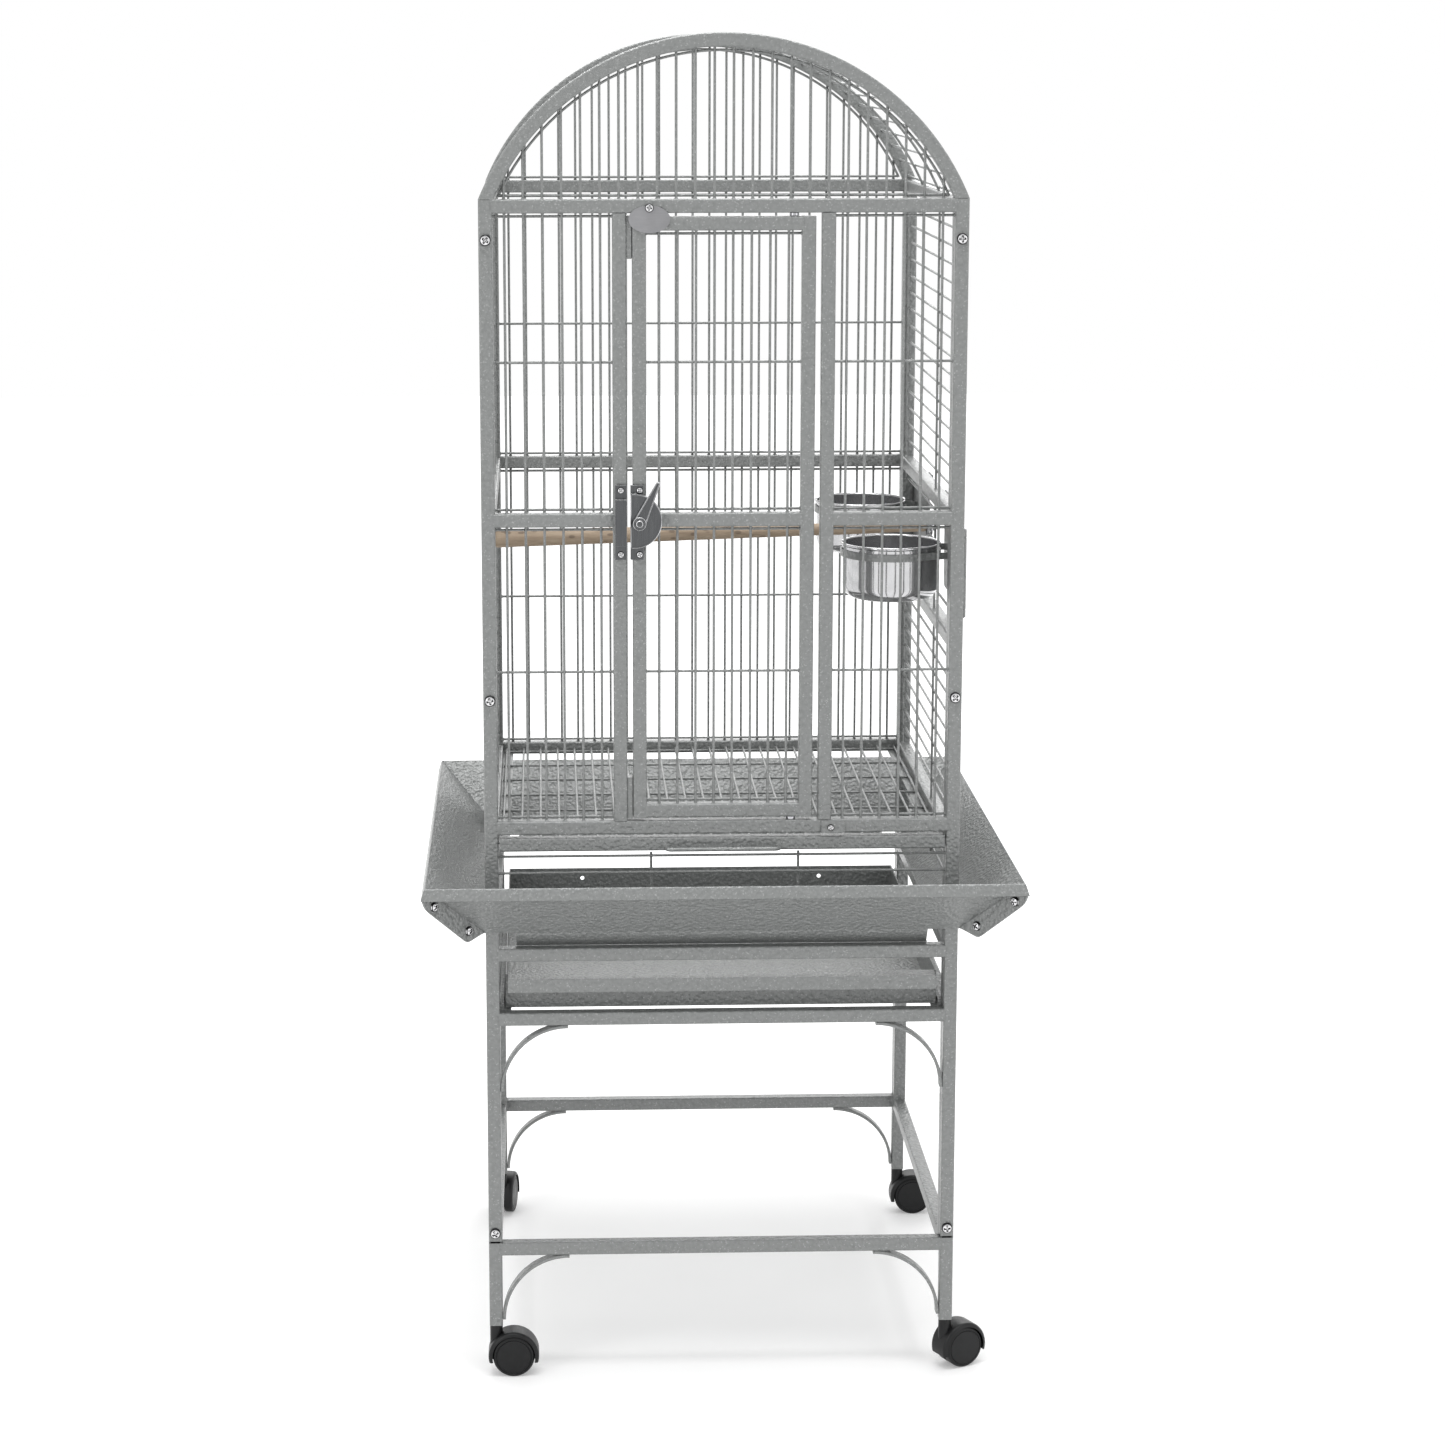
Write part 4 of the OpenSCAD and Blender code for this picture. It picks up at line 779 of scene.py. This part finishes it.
def hex_nut(shape, at, out, across, h, hole, sides=48):
    """A six-sided nut; a scale of 0 stands for its hole."""
    d, a, b = around(out)
    rings = []
    for scale, t in ((0.93, 0), (1, 0.45), (1, h - 0.45), (0.93, h), (0, h), (0, 0)):
        ring = []
        for k in range(sides):
            off = (2 * math.pi * k / sides + math.pi / 6) % (math.pi / 3) - math.pi / 6
            r = scale * across / 2 / math.cos(off) if scale else hole
            ring.append(Vector(at) + d * t + spoke(a, b, k, sides) * r)
        rings.append(ring)
    shape.loft(rings, joined=True)


def make_bolts():
    turns = random.Random(7)
    shape = Shape()
    for low, high in solids("frame_bolts"):
        c = (low + high) / 2
        way = -1 if c[1] < 0 else 1
        at = (c[0], way * (HW + SEAM), c[2])
        screw(shape, at, (0, way, 0), *FRAME_BOLT, turns.uniform(0, MOST_TURN))
    shape.build("frame_bolts", "screw_plating")


def make_screws():
    """The small screws: those that face the front, and the two that face the right."""
    turns = random.Random(11)
    for node in ("small_screws", "door_screws"):
        shape = Shape()
        for low, high in solids(node):
            c = (low + high) / 2
            size = high - low
            r, h = size[2] / 2, BADGE_HEAD_H if size[2] > BADGE_HEAD_FROM else SCREW_HEAD_H
            if size[0] > size[1]:
                at, out, shank = (high[0] - h, c[1], c[2]), (1, 0, 0), size[0] - h
            else:
                at, out, shank = (c[0], low[1] + h, c[2]), (0, -1, 0), size[1] - h
            screw(shape, at, out, r, h, SCREW_R, shank, turns.uniform(0, MOST_TURN))
        shape.build(node, "screw_plating")


def make_guard_bolts():
    """The bolts through the guards' flanges, with a nut on each."""
    turns = random.Random(5)
    shape = Shape()
    for low, high in solids("guard_bolts"):
        if high[2] - low[2] < NUT_ACROSS + 0.5:
            continue
        c = (low + high) / 2
        sx, sy = math.copysign(1, c[0]), math.copysign(1, c[1])
        out = Vector((-sx, sy, 0)).normalized()
        reach = GUARD_BOLT_FROM + GUARD_BOLT_AT[0 if c[2] < GUARD_BOLT_SPLIT else 1]
        middle = Vector((sx * reach, sy * reach, c[2]))
        screw(shape, middle + out * GUARD_BOLT_OFF, out, *GUARD_BOLT, turns.uniform(0, MOST_TURN))
        hex_nut(shape, middle - out * GUARD_BOLT_OFF, -out, NUT_ACROSS, NUT_H, NUT_HOLE)
    shape.build("guard_bolts", "guard_screw_plating")


def make_lever():
    """The latch lever: a tapered arm with a raised rim, and its turning boss."""
    x, z, front, reach, slant = -79.6, 850.0, -237.8, 41.0, math.radians(65)
    root_r, tip_r, root_t, tip_t = 6.1, 2.2, 3.5, 2.5
    shaft_r, shaft_in, shaft_out = 2.5, 1.7, 0.3
    lean = math.acos((root_r - tip_r) / reach)
    tip = (reach * math.cos(slant), reach * math.sin(slant))
    ends = ((root_r, (0, 0), root_t, lean, 2 * math.pi - lean, 28),
            (tip_r, tip, tip_t, -lean, lean, 14))

    def arm(inset, drop):
        ring = []
        for r, middle, thick, a0, a1, n in ends:
            for k in range(n):
                turn = slant + a0 + (a1 - a0) * k / (n - 1)
                y = front - max(thick - drop, 0.0)
                ring.append((x + middle[0] + (r - inset) * math.cos(turn), y,
                             z + middle[1] + (r - inset) * math.sin(turn)))
        return ring

    shape = Shape()
    rim = ((0, 1.0), (0.12, 0.55), (0.4, 0.15), (0.75, 0), (1.05, 0), (1.3, 0.2), (1.45, 0.7))
    shape.loft([arm(0, root_t)] + [arm(inset, drop) for inset, drop in rim])
    # radius and height out from the arm's back
    boss = [(6.4, 0), (6.4, 4.2), (6.25, 4.65), (5.9, 4.92), (5.5, 5), (4.9, 5), (4.6, 4.85),
            (4.4, 4.4)]
    pin = [(3.7, 4.4), (3.52, 5.0), (3.52, 5.5), (3.3, 6.0), (2.8, 6.4), (2.0, 6.6), (0.05, 6.6)]
    shape.lathe(boss + pin, (x, front, z), (0, -1, 0))
    shape.rod((x, front + shaft_in, z), (x, front - shaft_out, z), shaft_r, sides=24)
    shape.build("latch_lever", "gunmetal")


make_bolts()
make_screws()
make_guard_bolts()
make_lever()


def dressed(node, paint, bevel, more=None):
    """A copy of a CAD node with clean faces and softened edges, which stands for it."""
    mesh = frame["nodes"][node].data.copy()
    bm = bmesh.new()
    bm.from_mesh(mesh)
    bmesh.ops.remove_doubles(bm, verts=bm.verts, dist=1e-5)
    bmesh.ops.dissolve_limit(bm, angle_limit=math.radians(1.5), verts=bm.verts, edges=bm.edges)
    if more:
        more(bm)
    bm.to_mesh(mesh)
    bm.free()
    piece = bpy.data.objects.new("look_" + node, mesh)
    scene.collection.objects.link(piece)
    finish_piece(piece, node, paint, bevel=bevel)


DRESSED = (
    ("tray_guides", PAINT, 0.3), ("grate_runners", PAINT, 0.3), ("door_stops", PAINT, 0.35),
    ("hinge_pins", "chrome", 0.3), ("latch_keeper", "gunmetal", 0.9), ("latch_bolt", "steel", 0.3),
    ("perch_bolts", "chrome", 0.35), ("feeder_brackets", PAINT, 0.2),
    ("feeder_hinge_pins", "gunmetal", 0.2), ("feeder_catch_front", "gunmetal", 0.3),
    ("feeder_catch_rear", "gunmetal", 0.3), ("feeder_door_front", PAINT, 0.3),
    ("feeder_door_rear", PAINT, 0.3), ("grate_lock_tab", PAINT, 0.4), ("tray", PAINT, 0.35),
    ("badge_plate", "badge_steel", 0.35), ("caster_sockets", "chrome", 0.25))
for node, paint, bevel in DRESSED:
    dressed(node, paint, bevel)


def sink_front(rim, depth):
    """Sinks the foremost flat faces of a mesh and leaves a rim around them."""

    def sink(bm):
        bm.normal_update()
        front = min(v.co.y for v in bm.verts)
        flat = [f for f in bm.faces
                if f.normal.y < -0.99 and abs(f.calc_center_median().y - front) < 1e-5]
        bmesh.ops.inset_region(bm, faces=flat, thickness=rim * MM, depth=-depth * MM,
                               use_even_offset=True)

    return sink


dressed("latch_body", "gunmetal", 0.55, more=sink_front(2.0, 1.1))

# ---- seed guards

# a guard's sheet, and the same along the vertical where it slopes
GUARD_T, GUARD_SKIN = 1.0, 1.4
# the slope's start out from the cage and its height; the fold's way in and the lip's way down
GUARD_U0, GUARD_Z0, GUARD_FOLD, GUARD_LIP = 0.4, 451.0, 4.2, 11.0
# the tongue inside the cage: its end, the height of its two faces there, and half its width
TONGUE_U, TONGUE_Z, TONGUE_HALF = -12, (435.3, 436.7), 199
CORNER_GAP, FLANGE_T, FLANGE_ROUND = 0.12, 1.0, 3.0


def rounded_corners(points, first, r):
    """An outline whose corners are rounded from a certain one on."""
    rounded = points[:first]
    for i in range(first, len(points)):
        p = Vector(points[i])
        beside = points[i - 1], points[(i + 1) % len(points)]
        d0, d1 = ((Vector(q) - p).normalized() for q in beside)
        for w in (0, 0.33, 0.67, 1):
            q = (p + d0 * r) * (1 - w) ** 2 + 2 * p * w * (1 - w) + (p + d1 * r) * w ** 2
            rounded.append(tuple(q))
    return rounded


def make_guards():
    high = box("front_seed_guard")[1]
    out, rim_z = high.x - HW, high.z
    u0, z0, t, skin, gap = GUARD_U0, GUARD_Z0, GUARD_T, GUARD_SKIN, CORNER_GAP
    fold, lip_z = out - GUARD_FOLD, rim_z - GUARD_LIP
    slope = (rim_z - skin - z0) / (fold - u0)

    def under(u):
        return z0 + slope * (u - u0)

    profile = [(u0, under(u0)), (fold * 0.5, under(fold * 0.5)), (fold - 1.2, under(fold - 1.2)),
               (fold - 0.3, under(fold) - 0.5), (fold + 0.5, rim_z - 2.6), (out - t - 0.1, lip_z),
               (out - 0.55, lip_z - 0.25), (out, lip_z), (fold + t * 0.8 + 0.45, rim_z - 1.5),
               (fold + t * 0.5, rim_z - 0.35), (fold - 0.2, rim_z),
               (fold - 1.6, under(fold - 1.6) + skin), (fold * 0.5, under(fold * 0.5) + skin),
               (u0, under(u0) + skin)]
    tongue = [(u0, under(u0)), (u0, under(u0) + skin)]
    tongue += [(TONGUE_U, TONGUE_Z[1]), (TONGUE_U, TONGUE_Z[0])]
    flange = [(1, under(1) + 0.4), (fold - 0.8, under(fold - 0.8) + 0.4), (out - 1, lip_z + 1.5),
              (out - 3.5, lip_z - 7), (out - 6.5, under(fold) - 21.6), (17.6, under(17.6) - 22.4),
              (4.2, under(4.2) - 3.5)]
    flange = rounded_corners(flange, 2, FLANGE_ROUND)
    diagonal = math.sqrt(2)
    for quarter, side_name in enumerate(("front", "right", "rear", "left")):
        m = Matrix.Rotation(math.radians(90 * quarter), 3, "Z")

        def at(x, u, z):
            return tuple(m @ Vector((x, -HW - u, z)))

        shape = Shape()
        shape.loft([[at(s * (HW + u - gap), u, z) for u, z in profile]
                    for s in np.linspace(-1, 1, 9)])
        shape.loft([[at(x, u, z) for u, z in tongue] for x in (-TONGUE_HALF, TONGUE_HALF)])
        for s in (-1, 1):
            shape.loft([[at(s * (HW + u - off / diagonal), u + off / diagonal, z)
                         for u, z in flange] for off in (gap * 0.7, gap * 0.7 + FLANGE_T)])
        shape.build(side_name + "_seed_guard", smooth=50)


make_guards()

# ---- floor grate, perch and bowls

# the wire pull: height, wire radius, reach out, half width, start inside the tube, bend
PULL_Z, PULL_R, PULL_REACH, PULL_HALF, PULL_START, PULL_BEND = 535, 2.0, 12.05, 54, 0.6, 5.0
PULL_WELD, PULL_WELD_IN = (3.2, 1.1, 3.2), 0.2
# the mat: heights of its long and cross wires; the first cross wire, their pitch, the last's limit
MAT_Z, MAT_CROSS_Z, MAT_FIRST, MAT_PITCH, MAT_LAST = 537.5, 535.3, 5, 70, 8


def make_grate():
    shape = Shape()
    low, high = max(solids("grate_frame"), key=lambda f: f[1][2] - f[0][2])
    low[1] = max(low[1], -HW)
    tube(shape, low, high, 0)
    x, z, bend = PULL_HALF, PULL_Z, PULL_BEND
    y0, y1 = -HW + PULL_START, -HW - PULL_REACH
    path = [(-x, y0, z), (-x, y1 + bend, z)]
    for k in range(1, 9):
        a = math.radians(90 * k / 8)
        path.append((-x + bend - bend * math.cos(a), y1 + bend - bend * math.sin(a), z))
    path += [(-p[0], p[1], p[2]) for p in reversed(path)]
    shape.sweep(path, PULL_R, 16)
    for s in (-1, 1):
        shape.blob((s * x, -HW + PULL_WELD_IN, z), PULL_WELD)
    shape.build("grate_frame")

    low, high = box("grate_wires")
    shape = Shape()
    y0, y1 = low.y, high.y
    side = high.x - 2 * WIRE_R
    n = int(2 * side // PITCH)
    ys = []
    y = y1 - MAT_FIRST
    while y >= y0 + MAT_LAST:
        ys.append(y)
        y -= MAT_PITCH
    for i in range(n + 1):
        x = -side + 2 * side * i / n
        shape.rod((x, y0 - INTO_WELD, MAT_Z), (x, y1, MAT_Z), flare="s")
        for y in ys:
            shape.blob((x, y, (MAT_Z + MAT_CROSS_Z) / 2), (NUGGET, NUGGET, NUGGET_DEEP))
    for y in ys:
        shape.rod((-high.x, y, MAT_CROSS_Z), (high.x, y, MAT_CROSS_Z))
    shape.build("grate_wires")


make_grate()

# the perch's height and radius at its left and right end, and how far its ends are rounded
PERCH_Z, PERCH_R, PERCH_SOFT = (801.0, 811.0), (9.3, 5.2), 1.2
PERCH_STEPS, PERCH_SIDES = 220, 40


def make_perch():
    """A turned rod, a little bent and uneven."""
    low, high = box("perch")
    x0, length = low.x, high.x - low.x
    z0, rise = PERCH_Z[0], PERCH_Z[1] - PERCH_Z[0]
    shape = Shape()
    rings = []
    tilt = math.atan2(rise, length)
    for i in range(PERCH_STEPS + 1):
        t = i / PERCH_STEPS
        x, z = x0 + length * t, z0 + rise * t
        r = PERCH_R[0] + (PERCH_R[1] - PERCH_R[0]) * t
        end = min(t, 1 - t) * length
        if end < PERCH_SOFT:
            r -= PERCH_SOFT - end
        wave = Vector((x * 0.012, 3.1, 0))
        dy, dz = 0.35 * noise.noise(wave), 0.35 * noise.noise(wave + Vector((0, 7, 0)))
        ring = []
        for k in range(PERCH_SIDES):
            a = 2 * math.pi * k / PERCH_SIDES
            c, s = math.cos(a), math.sin(a)
            q = Vector((x * 0.035, c * 1.1, s * 1.1))
            rr = r * (0.975 + 0.035 * noise.noise(q) + 0.012 * noise.noise(q * 3.7))
            ring.append((x - math.sin(tilt) * rr * s, dy + rr * c, z + dz + rr * s))
        rings.append(ring)
    shape.loft(rings)
    shape.build("perch", "perch_wood", smooth=60)


make_perch()

# a bowl's sheet, its rim's overhang, the rim's roll and the bend between foot and wall
BOWL_T, BOWL_RIM, BOWL_ROLL, BOWL_BEND = 0.8, 2, 1.5, 13.0


def make_bowls():
    t, roll, bend = BOWL_T, BOWL_ROLL, BOWL_BEND
    for node in ("feed_bowl_front", "feed_bowl_rear"):
        low, high = box(node)
        cx, cy = (low.x + high.x) / 2, (low.y + high.y) / 2
        r, z0, top = (high.x - low.x) / 2, low.z, high.z
        wall = r - BOWL_RIM
        foot = wall - bend

        def foot_bend(radius, degrees):
            turns = [math.radians(a) for a in degrees]
            return [(foot + radius * math.sin(a), z0 + bend - radius * math.cos(a)) for a in turns]

        profile = [(0.3, z0 + 0.9), (foot * 0.55, z0 + 0.9), (foot * 0.72, z0 + 0.25),
                   (foot * 0.8, z0)]
        profile += foot_bend(bend, range(0, 91, 9))
        profile += [(wall, top - 5.2), (wall + 0.4, top - 3.4), (r - 0.7, top - 3.0)]
        profile += arc(r - roll, top - roll, roll, range(-80, 100, 20))
        profile += [(wall - t + 0.6, top - 0.5), (wall - t, top - 1.6), (wall - t, z0 + bend)]
        profile += foot_bend(bend - t, range(81, -1, -9))
        profile += [(0.3, z0 + t + 0.3)]
        shape = Shape()
        shape.lathe(profile, (cx, cy, 0), (0, 0, 1), 96)
        shape.build(node, "steel", smooth=50)


make_bowls()

# ---- casters

TRAIL, WHEEL_R = 17, 20.5
# the hood: radius, half width, height of its lower edge, wall, rounding, half the web inside
HOOD_R, HOOD_HALF, HOOD_CUT, HOOD_T, HOOD_SOFT, WEB_HALF = 25, 13, 14, 3, 4, 1.5
# the neck on the hood: radius, the radius inside the hood where it starts, its lowest and upper end
NECK_R, NECK_FROM, NECK_LOW, NECK_TOP = 6.3, 23.2, 24, 49.8
STEM_R, STEM_Z = 3.95, (50, 78)
# a wheel's inner face out from the middle, its width, and its axle
WHEEL_GAP, WHEEL_W, AXLE_R, AXLE_HALF = 1.9, 10.5, 2.4, 10
CASTERS = (("front_left", -1, -1, 0), ("front_right", 1, -1, 27),
           ("rear_left", -1, 1, 80), ("rear_right", 1, 1, 0))


def make_hood(shape, at):
    """Both halves of a hood, the web between them, the neck and the stem."""
    soft, half = HOOD_SOFT, HOOD_HALF
    cut = math.degrees(math.asin((HOOD_CUT - WHEEL_R) / HOOD_R))

    def over(steps):
        return [math.radians(cut + (180 - 2 * cut) * i / steps) for i in range(steps + 1)]

    outline = [(HOOD_R, 0), (HOOD_R, half - soft)]
    outline += arc(HOOD_R - soft, half - soft, soft, (22.5, 45, 67.5))
    outline += [(HOOD_R - soft, half), (HOOD_R - HOOD_T - 0.6, half - 0.6),
                (HOOD_R - HOOD_T, half - 2.4), (HOOD_R - HOOD_T, 0)]
    for s in (-1, 1):
        shape.loft([[at(TRAIL + q * math.cos(a), s * y, WHEEL_R + q * math.sin(a))
                     for q, y in outline] for a in over(48)])
    r = HOOD_R - 1
    shape.loft([[at(TRAIL + r * math.cos(a), y, WHEEL_R + r * math.sin(a)) for a in over(40)]
                for y in (-WEB_HALF, WEB_HALF)])

    base, top = [], []
    sides = 32
    for k in range(sides):
        a = 2 * math.pi * k / sides
        x, y = NECK_R * math.cos(a), NECK_R * math.sin(a)
        d = x - TRAIL
        z = WHEEL_R + math.sqrt(NECK_FROM ** 2 - d * d) if abs(d) < NECK_FROM else NECK_LOW
        base.append((x, y, max(z, NECK_LOW)))
        top.append((x, y, NECK_TOP))
    rings = [base, top]
    for scale, z in ((0.93, 50.9), (0.82, 51.4)):
        rings.append([(x * scale, y * scale, z) for x, y, _ in top])
    shape.loft([[at(*p) for p in ring] for ring in rings])
    shape.rod(at(0, 0, STEM_Z[0]), at(0, 0, STEM_Z[1]), STEM_R, sides=24)


def make_wheels(shape, at, axle):
    """A pair of wheels and the axle through them."""
    r, gap, face = WHEEL_R, WHEEL_GAP, WHEEL_GAP + WHEEL_W
    profile = [(3, gap), (r - 1.5, gap), (r - 0.5, gap + 0.5), (r, gap + 1.7), (r, face - 2.4),
               (r - 0.5, face - 1.2), (r - 1.5, face - 0.5), (r - 2.6, face - 0.35),
               (r - 3.0, face - 0.9), (r - 3.6, face - 0.9), (r - 4.0, face - 0.3),
               (12, face - 0.1), (6, face), (0.3, face)]
    for s in (-1, 1):
        shape.lathe(profile, at(TRAIL, 0, r), axle * s, 64)
    shape.rod(at(TRAIL, -AXLE_HALF, r), at(TRAIL, AXLE_HALF, r), AXLE_R, sides=20)


def make_casters():
    for name, sx, sy, turn in CASTERS:
        m = Matrix.Translation(Vector((sx * POST, sy * POST, 0)))
        m = m @ Matrix.Rotation(math.radians(turn), 4, "Z")

        def at(x, y, z):
            return tuple(m @ Vector((x, y, z)))

        shape = Shape()
        make_hood(shape, at)
        shape.build("caster_hood_" + name, "caster_plastic", smooth=40)
        shape = Shape()
        make_wheels(shape, at, m.to_3x3() @ Vector((0, 1, 0)))
        shape.build("caster_wheels_" + name, "caster_plastic", smooth=30)


make_casters()

# ---- room

# the world's strength as light, and half the floor's side in metres
WORLD_LIGHT, FLOOR_HALF = 0.72, 9.0
FLOOR_TONE = (0.82, 0.82, 0.82, 1)
# the floor's own glow grows from the object outward: distances in metres, and its strength at each
GLOW = (("From Min", 0.5), ("From Max", 4.5), ("To Min", 0.22), ("To Max", 0.72))
# name, place, size in metres and power in watts; all aim at the object's middle
LIGHTS = (("key", (-2.4, -2.3, 1.7), (1.4, 2.6), 22), ("fill", (2.7, -2.2, 1.5), (1.4, 2.4), 14),
          ("top", (0, -0.3, 3.7), (2.2, 2.2), 96), ("rim", (0.5, 3.0, 2.4), (2.8, 2.0), 48))
LIGHT_AIM = (0, 0, 0.8)


def emptied(tree):
    """Clears a node tree, and gives back what makes its nodes and its links."""
    tree.nodes.clear()
    return lambda kind: tree.nodes.new("ShaderNode" + kind), tree.links.new


def seen_rays(new, link):
    """1 for the rays that see the white background: the camera's, and what metal and glass show."""
    path = new("LightPath")
    last = path.outputs["Is Camera Ray"]
    for kind in ("Is Glossy Ray", "Is Transmission Ray"):
        both = new("Math")
        both.operation = "MAXIMUM"
        link(last, both.inputs[0])
        link(path.outputs[kind], both.inputs[1])
        last = both.outputs[0]
    return last


def make_world():
    world = bpy.data.worlds.new("studio")
    scene.world = world
    world.use_nodes = True
    new, link = emptied(world.node_tree)
    seen, lit, mix = new("Background"), new("Background"), new("MixShader")
    for background, strength in ((seen, 1.0), (lit, WORLD_LIGHT)):
        background.inputs[0].default_value = (1, 1, 1, 1)
        background.inputs[1].default_value = strength
    link(seen_rays(new, link), mix.inputs[0])
    link(lit.outputs[0], mix.inputs[1])
    link(seen.outputs[0], mix.inputs[2])
    link(mix.outputs[0], new("OutputWorld").inputs[0])


def make_floor():
    """A matt floor that keeps the shadow, lifted by a glow toward the background's white."""
    mesh = bpy.data.meshes.new("floor")
    s = FLOOR_HALF
    mesh.from_pydata([(-s, -s, 0), (s, -s, 0), (s, s, 0), (-s, s, 0)], [], [(0, 1, 2, 3)])
    floor = bpy.data.objects.new("floor", mesh)
    scene.collection.objects.link(floor)
    mat = bpy.data.materials.new("floor")
    mat.use_nodes = True
    new, link = emptied(mat.node_tree)
    matt, glow, both = new("BsdfDiffuse"), new("Emission"), new("AddShader")
    far, fade, lift = new("VectorMath"), new("MapRange"), new("Math")
    matt.inputs[0].default_value = FLOOR_TONE
    far.operation = "LENGTH"
    link(new("TexCoord").outputs["Object"], far.inputs[0])
    link(far.outputs["Value"], fade.inputs["Value"])
    for socket, value in GLOW:
        fade.inputs[socket].default_value = value
    lift.operation = "MULTIPLY"
    link(fade.outputs[0], lift.inputs[1])
    link(seen_rays(new, link), lift.inputs[0])
    link(lift.outputs[0], glow.inputs[1])
    link(matt.outputs[0], both.inputs[0])
    link(glow.outputs[0], both.inputs[1])
    link(both.outputs[0], new("OutputMaterial").inputs[0])
    mesh.materials.append(mat)


def make_lights():
    for name, place, size, power in LIGHTS:
        data = bpy.data.lights.new(name, "AREA")
        data.shape = "RECTANGLE"
        data.size, data.size_y = size
        data.energy = power
        lamp = bpy.data.objects.new(name, data)
        turn = (Vector(LIGHT_AIM) - Vector(place)).to_track_quat("-Z", "Y").to_matrix()
        lamp.matrix_world = Matrix.Translation(Vector(place)) @ turn.to_4x4()
        scene.collection.objects.link(lamp)


make_world()
make_floor()
make_lights()
